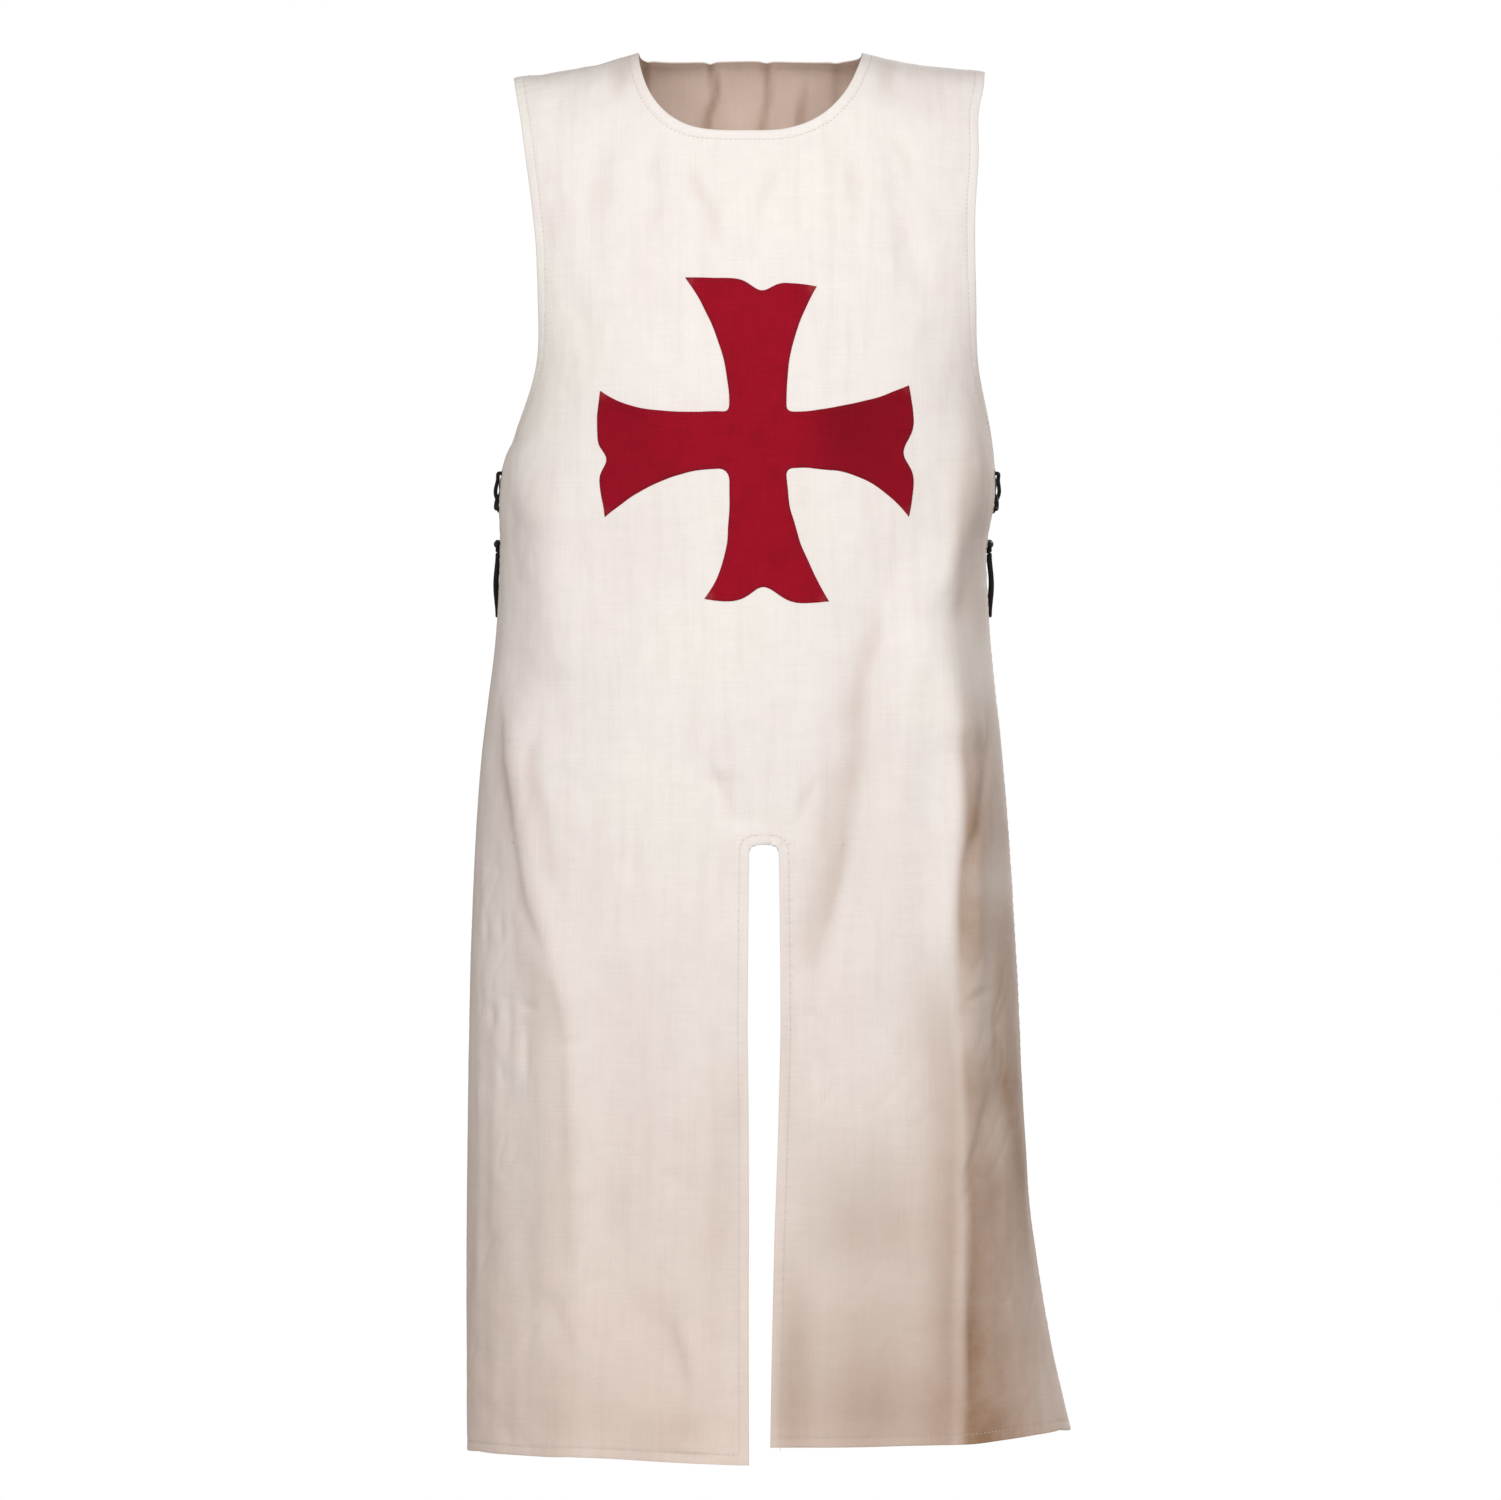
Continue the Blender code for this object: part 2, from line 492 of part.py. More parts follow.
def turn_through(place, into):
    """The lace's half turn through an eyelet: from outside to inside, or the other way."""
    centre, normal, towards = place
    angles = np.linspace(np.pi / 2, -np.pi / 2, 5)[:, None] * (1 if into else -1)
    return centre + LACE_BEND * (towards * (1.0 - np.cos(angles)) + normal * np.sin(angles))


def strand(start, stop, drops, sign, panels, face, shift):
    """A strand between two eyelets of opposite panels, clear of both side edges. face is +1 outside the
    cloth and -1 inside; shift moves the middle of the strand out or in, past the strand it crosses.
    """
    if face < 0:
        middle = (start + stop) / 2 + np.array([sign * shift, 0.0, 0.0])
        return [start + (middle - start) * STRAND_BOW, middle, stop + (middle - stop) * STRAND_BOW]
    over = []
    for panel, share in zip(panels, STRAND_SHARES):
        edge, normal = panel.edge(sign, drops[0] + (drops[1] - drops[0]) * share)
        over.append(edge + normal * LACE_BEND)
    return [over[0], (over[0] + over[1]) / 2 + np.array([sign * shift, 0.0, 0.0]), over[1]]


def twist(front, back, sign, phase):
    """One strand of the knot, from the front edge of the gap to the back: a screw round the line between
    the lowest eyelets.
    """
    edge_f, _ = front.edge(sign, EYELET_DROPS[2])
    edge_b, _ = back.edge(sign, EYELET_DROPS[2])
    middle = (edge_f + edge_b) / 2 + np.array([sign * LACE_BEND, 0.0, 0.0])
    t = np.linspace(-1.0, 1.0, int(8 * TWIST_TURNS) + 1)[:, None]
    angle = phase + np.pi * TWIST_TURNS * (t - 1.0)
    out, up = np.array([sign, 0.0, 0.0]), np.array([0.0, 0.0, 1.0])
    spin = TWIST_RADIUS * (out * np.cos(angle) + up * np.sin(angle))
    return middle + np.array([0.0, 1.0, 0.0]) * t * TWIST_HALF_LENGTH + spin


def turn_down(last, towards):
    """Four points that bend a strand from level to straight down."""
    angles = np.radians([30.0, 60.0, 90.0])[:, None]
    level, down = np.array([0.0, towards, 0.0]), np.array([0.0, 0.0, -1.0])
    bend = last + END_BEND * (level * np.sin(angles) + down * (1.0 - np.cos(angles)))
    return np.concatenate([bend, bend[-1:] + down * LACE_DIAMETER / 2])


def lace_route(front, back, sign):
    """The whole lace of one side as points: out of the knot, through the lowest front eyelet, up in crosses
    to the bar behind the top pair, and down in crosses to the lowest back eyelet and the knot.
    """
    f = [front.eyelet(sign, drop) for drop in EYELET_DROPS]
    b = [back.eyelet(sign, drop) for drop in EYELET_DROPS]
    f_in, b_out = [turn_through(e, True) for e in f], [turn_through(e, False) for e in b]
    d = EYELET_DROPS
    low = twist(front, back, sign, -np.pi / 2)
    high = twist(front, back, sign, np.pi / 2)
    lowest = (panel.edge(sign, d[2]) for panel in (front, back))
    over_f, over_b = (edge + normal * LACE_BEND for edge, normal in lowest)
    parts = [
        turn_down(low[-1], 1.0)[::-1], low[::-1], over_f, f_in[2],
        strand(f_in[2][-1], b_out[1][0], (d[2], d[1]), sign, (front, back), -1, LACE_OVER), b_out[1],
        strand(b_out[1][-1], f_in[0][0], (d[1], d[0]), sign, (back, front), 1, LACE_OVER), f_in[0],
        strand(f_in[0][-1], b_out[0][0], (d[0], d[0]), sign, (front, back), -1, 0.0), b_out[0],
        strand(b_out[0][-1], f_in[1][0], (d[0], d[1]), sign, (back, front), 1, LACE_UNDER), f_in[1],
        strand(f_in[1][-1], b_out[2][0], (d[1], d[2]), sign, (front, back), -1, LACE_UNDER), b_out[2],
        over_b, high[::-1], turn_down(high[0], -1.0),
    ]
    return np.concatenate([np.atleast_2d(p) for p in parts])


def end_route(start, sign, panel):
    """A hanging lace end: straight down from the knot with a slight bow away from the cloth."""
    length, lean = LACE_END_LENGTHS[panel], END_LEANS[panel]
    t = np.linspace(0.0, 1.0, 9)[:, None]
    top = start - np.array([0.0, 0.0, SEAM_GAP])
    bow = np.sin(np.pi * t) ** 2 * np.array([sign * END_BOW, 0.0, 0.0])
    return top + t * length * np.array([0.0, lean, -1.0]) + bow


def cord(name, points, finish):
    curve = bpy.data.curves.new(name, "CURVE")
    curve.dimensions = "3D"
    curve.bevel_depth, curve.bevel_resolution = LACE_DIAMETER / 2, LACE_SIDES
    curve.use_fill_caps = True
    spline = curve.splines.new("POLY")
    spline.points.add(len(points) - 1)
    spline.points.foreach_set("co", np.column_stack([points, np.ones(len(points))]).ravel())
    return place(name, curve, finish)


# --- assembly ----------------------------------------------------------------------------------------


def material(name, colour, roughness):
    made = bpy.data.materials.new(name)
    made.use_nodes = True
    shader = made.node_tree.nodes["Principled BSDF"]
    shader.inputs["Base Color"].default_value = (*colour, 1.0)
    shader.inputs["Roughness"].default_value = roughness
    return made


def place(name, data, finish=None):
    made = bpy.data.objects.new(name, data)
    bpy.context.scene.collection.objects.link(made)
    if finish:
        data.materials.append(finish)
    return made


def cutter(name, mesh):
    made = place(name, mesh_data(mesh, name))
    made.hide_render, made.display_type = True, "WIRE"
    return made


def cut(owner, tool, operation):
    made = owner.modifiers.new("cut", "BOOLEAN")
    made.object, made.operation, made.solver = tool, operation, "EXACT"


def main():
    for old in list(bpy.data.objects):
        bpy.data.objects.remove(old)
    front = Panel("front", -1, FRONT_SECTIONS, FRONT_FOLDS, FRONT_HEM, FRONT_SLIT)
    back = Panel("back", 1, BACK_SECTIONS, BACK_FOLDS, BACK_HEM, BACK_SLIT)
    canvas = material("cotton_canvas", (0.80, 0.74, 0.66), 0.9)
    for panel in (front, back):
        name = panel.name + "_panel"
        cloth = place(name, sheet(panel, -CLOTH, 0.0, name), canvas)
        cut(cloth, cutter(panel.name + "_eyelets", eyelet_cutter(panel)), "DIFFERENCE")
    name = "cross_applique"
    patch = sheet(front, SEAM_GAP, SEAM_GAP + CROSS_CLOTH, name, within=cross_box())
    cross = place(name, patch, material("crimson_cotton", (0.37, 0.006, 0.02), 0.85))
    cut(cross, cutter("cross_shape", cross_cutter()), "INTERSECT")
    black = material("black_cotton_cord", (0.012, 0.011, 0.012), 0.7)
    for side, sign in (("left", 1), ("right", -1)):
        route = lace_route(front, back, sign)
        cord("side_lace_" + side, route, black)
        cord(f"lace_end_{side}_back", end_route(route[0], sign, "back"), black)
        cord(f"lace_end_{side}_front", end_route(route[-1], sign, "front"), black)


if __name__ == "__main__":
    main()
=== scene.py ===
"""A knight's surcoat, finished for show on the solids of its CAD model.

Two long panels of washed cotton canvas hang front and back, joined at the shoulders and laced together at
the waist. Every edge is turned and sewn down, a crimson cross is sewn on the breast, and black cords close
the sides through worked eyelets. Lengths are metres, +Z is up, and the wearer faces -Y.

A place on a panel is written as (across, down): across runs from -1 at the wearer's right side edge over
the centre line at 0 to +1 at the left side edge, and down is a length along the cloth from the shoulder
seam.
"""

import math

import bpy
import numpy as np
from bpy.props import FloatProperty, FloatVectorProperty, PointerProperty
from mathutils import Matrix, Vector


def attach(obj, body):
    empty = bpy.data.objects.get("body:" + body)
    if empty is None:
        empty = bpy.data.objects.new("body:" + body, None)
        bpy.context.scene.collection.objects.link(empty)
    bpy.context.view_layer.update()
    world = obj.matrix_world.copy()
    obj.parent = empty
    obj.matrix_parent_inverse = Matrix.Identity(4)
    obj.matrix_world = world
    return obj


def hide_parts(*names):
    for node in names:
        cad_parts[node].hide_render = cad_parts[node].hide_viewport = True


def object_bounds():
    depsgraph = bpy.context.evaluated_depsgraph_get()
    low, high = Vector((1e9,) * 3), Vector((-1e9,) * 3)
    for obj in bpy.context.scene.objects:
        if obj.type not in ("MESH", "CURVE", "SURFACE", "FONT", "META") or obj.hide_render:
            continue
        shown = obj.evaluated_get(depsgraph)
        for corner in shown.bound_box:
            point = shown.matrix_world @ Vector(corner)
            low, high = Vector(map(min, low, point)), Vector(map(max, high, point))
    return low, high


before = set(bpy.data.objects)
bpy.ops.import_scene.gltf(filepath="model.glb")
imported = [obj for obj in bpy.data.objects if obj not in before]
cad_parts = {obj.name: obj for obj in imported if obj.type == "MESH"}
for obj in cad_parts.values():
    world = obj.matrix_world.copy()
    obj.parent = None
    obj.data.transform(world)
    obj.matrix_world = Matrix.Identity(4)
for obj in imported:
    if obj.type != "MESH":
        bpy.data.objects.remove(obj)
CAD_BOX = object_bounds()

bl_info = {
    "name": "Knight's surcoat",
    "version": (1, 0, 0),
    "blender": (4, 5, 0),
    "location": "3D View > Sidebar > Surcoat",
    "description": "Builds a worn canvas surcoat with a sewn cross and laced sides",
    "category": "Add Mesh",
}

# --- sizes of the solids, in metres -------------------------------------------------------------------

CLOTH = 0.0018  # thickness of the solids' wall, which the canvas fills at its hems
SEAM_GAP = 0.0003
SHOULDER_HALF_WIDTH = 0.2115
SHOULDER_FALL = {-1: 0.0213, 1: 0.0162}
FALL_FADES = 0.34
NECK_HALF_WIDTH = 0.1005
NECK_SQUARENESS = {"front": (3.1, 2.6), "back": (2.4, 2.4)}  # right half, left half; 2 would be round
NECK_RISE = {"front": 0.0090, "back": 0.0150}
SLIT_ARCH = 0.009
SLIT_SQUARENESS = 3.2  # the sewn cloth stands squarer at the top of the slit than the solid, which is round
HEM_STARTS = 0.55
HEM_STEP = 0.021  # across value from which a flap's own hem counts, beside the centre line

EYELET_RADIUS = 0.0029
EYELET_INSET = 0.0120
EYELET_DROPS = (0.381, 0.412, 0.443)

LACE_BEND = 0.0035
LACE_OVER, LACE_UNDER = 0.0024, -0.0017
STRAND_BOW = 0.28  # how near its middle a strand inside the gap has its two shoulders
STRAND_SHARES = (0.18, 0.82)  # where a strand outside the cloth passes the two side edges
TWIST_RADIUS = 0.0020
TWIST_HALF_LENGTH = 0.0085
TWIST_TURNS = 1.5
END_BEND = 0.0040
END_BOW = 0.0020
END_LEANS = {"front": -0.02, "back": 0.03}

CROSS_CENTRE = (0.0065, -0.3579)
CROSS_HALF_WAIST = 0.0247
CROSS_COLUMNS = (
    "turn", "reach_1", "spread_1", "flare_1", "reach_2", "spread_2", "flare_2",
    "swell", "notch", "notch_at", "notch_width",
)
CROSS_ARMS = (
    (90, 0.1424, 0.0637, 2.1, 0.1341, 0.0510, 2.4, 0.0022, 0.0086, 0.003, 0.012),
    (0, 0.1321, 0.0485, 2.0, 0.1317, 0.0666, 3.2, 0.0060, 0.0108, 0.010, 0.015),
    (-90, 0.1404, 0.0617, 1.9, 0.1385, 0.0463, 3.8, 0.0032, 0.0149, -0.005, 0.016),
    (180, 0.1337, 0.0666, 2.2, 0.1377, 0.0443, 4.4, 0.0044, 0.0080, -0.016, 0.010),
)

# From here on the tables give their lengths in millimetres.

MILLIMETRE = 0.001
SECTION_COLUMNS = {
    "drop": MILLIMETRE, "depth": MILLIMETRE, "right": MILLIMETRE, "left": MILLIMETRE,
    "board": 1.0, "square_r": 1.0, "square_l": 1.0, "centre": MILLIMETRE,
}
FRONT_SECTIONS = (  # the first two rows round the shoulder tips off, inside the solid's
    (0, 0, 205, 203, 0.62, 2.2, 2.2, 0),
    (2, 10, 211, 209, 0.62, 2.2, 2.2, 0),
    (7, 31, 211.5, 209.5, 0.62, 2.2, 2.2, 0),
    (22, 58, 209.4, 208, 0.64, 2.2, 2.2, 0),
    (50, 79, 204.7, 202.7, 0.68, 2.2, 2.2, 0),
    (90, 93, 199.5, 202.2, 0.72, 2.3, 2.3, 1),
    (150, 110, 192.2, 198.5, 0.72, 2.4, 2.4, 2),
    (225, 124, 188, 199.3, 0.66, 2.5, 2.5, 3),
    (290, 130, 190.5, 202.4, 0.52, 2.6, 2.6, 4.5),
    (345, 132, 210, 214.5, 0.28, 2.6, 2.6, 6),
    (372, 132, 221.2, 218.5, 0.17, 2.6, 2.6, 6.5),
    (400, 132, 225, 219, 0.12, 2.6, 2.7, 7),
    (445, 131, 224.5, 212, 0.12, 2.6, 2.8, 8),
    (510, 133, 226.9, 213.5, 0.15, 2.6, 3, 9.5),
    (640, 139, 241.2, 225.8, 0.17, 2.7, 3.4, 11.2),
    (800, 146, 249.9, 236.8, 0.19, 2.8, 3.6, 11.8),
    (960, 153, 252.7, 244.7, 0.21, 2.8, 3.6, 11.2),
    (1060, 156, 253.5, 252.9, 0.22, 2.8, 3.5, 9.6),
    (1150, 159, 253.5, 266.7, 0.22, 2.8, 3.3, 8.6),
    (1247, 162, 252.7, 289, 0.22, 2.7, 3.1, 7.9),
)
BACK_SECTIONS = (
    (0, 0, 205, 203, 0.62, 2.2, 2.2, 0),
    (2, 10, 210.5, 208.5, 0.62, 2.2, 2.2, 0),
    (6, 34, 210.5, 208.5, 0.62, 2.2, 2.2, 0),
    (16, 64, 207, 205, 0.64, 2.2, 2.2, 0),
    (42, 88, 202, 200, 0.68, 2.2, 2.2, 0),
    (90, 106, 192.7, 193.7, 0.72, 2.3, 2.3, 1),
    (150, 120, 184.7, 187.7, 0.72, 2.4, 2.4, 2),
    (225, 127, 181.7, 189.7, 0.66, 2.5, 2.5, 3),
    (290, 125, 184.7, 195.2, 0.54, 2.6, 2.6, 4.5),
    (345, 120, 207, 211.5, 0.3, 2.6, 2.6, 6),
    (372, 118, 219.2, 217, 0.19, 2.6, 2.6, 6.5),
    (400, 116, 224.5, 218.5, 0.13, 2.6, 2.6, 7),
    (445, 115, 224.3, 211.8, 0.13, 2.6, 2.6, 8),
    (510, 119, 226.2, 211.7, 0.17, 2.6, 2.6, 9.5),
    (640, 130, 237.2, 221.7, 0.2, 2.7, 2.7, 11),
    (800, 139, 245.7, 231.7, 0.22, 2.8, 2.8, 11.5),
    (960, 145, 248.2, 239.7, 0.24, 2.8, 2.8, 11.2),
    (1110, 150, 248.7, 248.7, 0.25, 2.8, 2.8, 10),
    (1240, 154, 247.7, 266.7, 0.25, 2.7, 2.7, 9),
)

NECK_DEPTH = {"front": 0.1385, "back": 0.058}
HEM_COLUMNS = {"across": 1.0, "extra": MILLIMETRE}
FRONT_HEM = (
    (-1.00, 5.5), (-0.85, 0), (-0.45, -6), (-0.02, -1),
    (0.02, -16.3), (0.35, -16.3), (0.70, -20.3), (0.85, -20), (1.00, -13),
)
BACK_HEM = ((-1.00, 0), (-0.02, 4), (0.02, 4), (1.00, -10))
SLIT_COLUMNS = {"drop": MILLIMETRE, "half": MILLIMETRE}
FRONT_SLIT = ((710.3, 12.8), (800, 13.8), (870, 14.3), (1050, 11), (1260, 9))
BACK_SLIT = ((708, 18), (870, 19), (1050, 17.5), (1260, 16.5))

# --- folds: the solids' own ---------------------------------------------------------------------------
# from, to    the two ends of a fold's line, as x and drop below the origin
# spread      half its width, across the cloth
# height      how far it stands out (+) or sinks in (-)

FOLD_COLUMNS = ("from_x", "from_drop", "to_x", "to_drop", "spread", "height")
FRONT_FOLDS = (
    (-137, 85, -142, 200, 14, -2.4),
    (-85, 90, -93, 190, 14, -2.2),
    (-56, 90, -30, 215, 14, -2.8),
    (34, 95, 8, 200, 14, -2.8),
    (90, 85, 98, 205, 14, -2.4),
    (124, 75, 152, 230, 14, -2.6),
    (195, 345, 161, 505, 24, 6),
    (160, 525, 187, 620, 24, 7),
    (187, 620, 187, 1300, 20, 9.5),
    (150, 640, 142, 1300, 30, -7),
    (114, 490, 49, 830, 22, -8.5),
    (142, 500, 100, 840, 30, 5),
    (-185, 400, -166, 560, 28, 6),
    (-205, 610, -168, 850, 24, 8),
    (-166, 850, -163, 1300, 24, 8),
    (-118, 860, -112, 1300, 34, -5),
    (-26, 650, -4, 695, 12, -3),
    (-80, 1110, -56, 1230, 18, -4.5),
    (-172, 1105, -152, 1190, 16, -3),
)
BACK_FOLDS = (
    (-34, 45, -40, 330, 14, -5),
    (15, 45, 10, 360, 14, -5),
    (53, 45, 62, 330, 16, -5),
    (-190, 390, -150, 560, 28, 6),
    (-150, 480, -160, 1300, 26, 10),
    (-70, 560, -90, 1300, 32, -9),
    (20, 400, 50, 680, 26, -6),
    (90, 560, 110, 1300, 32, -9),
    (155, 480, 175, 1300, 26, 10),
)

# --- creases, which only the cloth has ----------------------------------------------------------------
# A row is a stroke, in millimetres: half its width on the wearer's right (-x) and left (+x) side of a line
# that runs down, how far it stands out (+) or sinks in (-), and then the x and the drop below the origin of
# each point of the line.

FRONT_CREASES = (
    # drag lines that hang from the neckline and the shoulders
    (6.5, 9, -1.3, -141, 90, -140, 114, -142, 145, -145, 184),
    (6, 8, -1.1, -81, 82, -87, 113, -94, 148),
    (6, 8, -1.6, -56, 87, -55, 111, -45, 136, -36, 152, -32, 173, -31, 202),
    (8, 6, -1.5, 34, 87, 29, 106, 18, 128, 11, 143, 10, 175),
    (6, 8, -1.1, 89, 88, 93, 124, 95, 162, 101, 185),
    (6, 9, -1.5, 127, 66, 132, 93, 142, 120, 154, 157),
    (11.5, 9, -0.7, 134, 160, 135, 181, 134, 202),
    (6.5, 8, -0.6, -172, 27, -169, 55, -169, 80),
    (11.5, 9, -0.9, -180, 156, -181, 179, -185, 205),
    (9, 10.5, -0.7, 175, 172, 178, 199, 174, 236),
    (8, 10.5, -0.5, -102, 178, -104, 208, -102, 235),
    # the drawn-in waist
    (10.5, 8, -0.9, -160, 205, -153, 233, -141, 267, -135, 297),
    (6.5, 10.5, -0.9, 170, 233, 157, 269, 150, 297),
    (5, 8, -0.9, -226, 343, -215, 352, -197, 360),
    (6.5, 9, -1, -231, 377, -217, 399, -211, 431, -214, 465),
    (5, 6.5, -0.8, 205, 358, 192, 371, 177, 382),
    (6.5, 9, 1.1, 195, 354, 185, 389, 180, 423, 173, 457, 162, 497),
    (6.5, 11.5, 1.3, 161, 502, 158, 521, 163, 566, 174, 595, 185, 617),
    (8, 10.5, -1, 208, 424, 198, 465, 184, 505, 180, 532),
    # the right side of the skirt: two slanting troughs, their shallow neighbours and a pucker
    (10.5, 4.2, -2.6, -226, 575, -220, 622, -213, 665, -207, 703, -203, 730, -198, 757, -191, 780,
     -181, 803, -176, 822),
    (10.5, 4.5, -1.4, -180, 808, -173, 834, -168, 862, -165, 900, -163, 960, -162, 1030, -163, 1100),
    (5, 6.5, -1.2, -190, 592, -189, 611, -193, 646, -192, 669, -199, 705, -200, 723),
    (10.5, 9.5, -1.8, -199, 600, -193, 640, -186, 668, -179, 700, -176, 736, -171, 780),
    (6.5, 6.5, -0.6, -167, 636, -149, 662, -136, 682),
    (3, 3, 1.6, -221, 618, -208, 616, -196, 613),
    (3, 4, 1.1, -237, 700, -236, 760, -237, 810),
    (4, 4, -1.6, -229, 846, -227, 862, -226, 880),
    (3, 3, -1.6, -203, 846, -193, 853, -182, 850),
    (3, 3, 1.3, -201, 858, -190, 862, -179, 859),
    (3.5, 3.5, -1.4, -197, 860, -195, 885, -196, 925),
    (3.5, 3.5, -1.2, -212, 835, -210, 870, -213, 905),
    (3, 3, -1, -234, 759, -232, 787, -232, 820),
    (3, 3.5, -0.9, -221, 763, -219, 786, -221, 807),
    (3, 3, -0.7, -210, 756, -208, 779, -209, 802),
    (8, 10.5, -0.8, -232, 857, -227, 909, -230, 962),
    (11.5, 9, -0.8, -211, 900, -205, 952, -209, 1013),
    # pulls that end at the top of the slit
    (5, 6, -1.5, -32, 608, -31, 646, -20, 669, -12, 691, -5, 704),
    (6, 6.5, -1.3, 25, 708, 37, 694, 46, 671, 57, 654, 75, 645),
    (6.5, 6.5, 0.9, 16, 644, 17, 671, 15, 701),
    (10.5, 11.5, -0.5, -30, 541, -28, 576, -31, 607),
    # the long slanting trough on the left of the slit, sharp on its left flank
    (11.5, 5, -2, 116, 497, 109, 536, 98, 567, 91, 603, 88, 630),
    (19.5, 6, -2.2, 90, 618, 87, 638, 83, 666, 77, 698, 76, 722, 70, 752, 58, 790, 48, 838),
    (4, 4, -0.7, 53, 541, 53, 558, 53, 574),
    (11.5, 9, -0.7, 124, 445, 122, 471, 116, 501),
    # the left side of the skirt: an upright ridge, the hollow beside it and its short breaks
    (6, 6, 1.4, 178, 600, 181, 640, 180, 690, 176, 740, 176, 790, 174, 830),
    (5, 6.5, 1.4, 180, 846, 180, 915, 183, 976, 184, 1045, 184, 1097, 184, 1226),
    (4.5, 14.5, -2.6, 215, 906, 203, 940, 192, 979, 186, 998, 187, 1045, 187, 1097, 190, 1157, 190, 1223),
    (4, 4, 0.9, 226, 1093, 228, 1112, 228, 1133),
    (4.5, 7, -2.6, 214, 570, 210, 599, 207, 625, 202.5, 654, 199.5, 675, 197, 692, 190, 712, 186, 730,
     184, 750, 183, 779, 184, 820),
    (5, 6, 1, 213.5, 600, 210, 650, 207, 705),
    (4, 6.5, -1.5, 216.5, 835, 215.5, 885, 216.5, 935),
    (3.2, 3.2, 1.8, 177, 849, 190, 836, 204, 832),
    (3.2, 3.2, -2.2, 180, 855, 191, 844.5, 204, 840, 219, 838),
    (2.8, 2.8, 1.5, 173, 841, 179, 847, 186, 854),
    (3, 3, -1.5, 185, 826, 194, 816, 201, 804),
    (9, 9, -0.7, 239, 981, 248, 1035, 244, 1085),
    (6.5, 6.5, 0.7, 204, 1141, 212, 1176, 221, 1214),
    # creases pressed in while the cloth lay folded, and the short breaks near the hem
    (3.5, 3.5, -1.3, 36, 871, 45, 859, 59, 858, 65, 868, 65, 888),
    (3.5, 3.5, -1.2, 62, 906, 71, 912, 65, 930, 52, 945),
    (3, 3, -0.9, 32, 1022, 50, 1023, 69, 1022),
    (3, 3, -0.9, 50, 1141, 70, 1140, 93, 1141),
    (4, 4, 1, 85, 1106, 89, 1114, 90, 1123),
    (4, 4, 1, 125, 1128, 114, 1142, 98, 1157),
    (3, 3, 0.8, 125, 1169, 130, 1173, 136, 1178),
    (10.5, 5, -1.4, -174, 1089, -165, 1121, -157, 1144, -151, 1168),
    (10.5, 5, -1.6, -84, 1104, -71, 1123, -64, 1142, -57, 1164, -51, 1191, -52, 1214),
    (6.5, 6.5, 0.8, -72, 1107, -61, 1126, -53, 1147, -45, 1169, -42, 1191),
    (6.5, 6.5, -1, -252, 1135, -241, 1156, -235, 1174, -234, 1196),
    (8, 8, -1.1, -251, 1195, -231, 1206, -217, 1217),
    (3, 3, -1.2, -93, 1232, -71, 1236, -44, 1239, -13, 1235),
    (3, 3, 0.8, -87, 1225, -65, 1229, -42, 1232, -18, 1229),
    (9, 11.5, -0.6, 74, 948, 79, 992, 76, 1031),
    (11.5, 9, -0.7, 134, 1001, 128, 1052, 131, 1104),
    (10.5, 10.5, -0.5, -44, 853, -46, 914, -42, 974),
    (10.5, 9, -0.6, -111, 983, -117, 1035, -113, 1087),
    (8, 8, 0.6, 17, 1026, 20, 1086, 19, 1147),
)
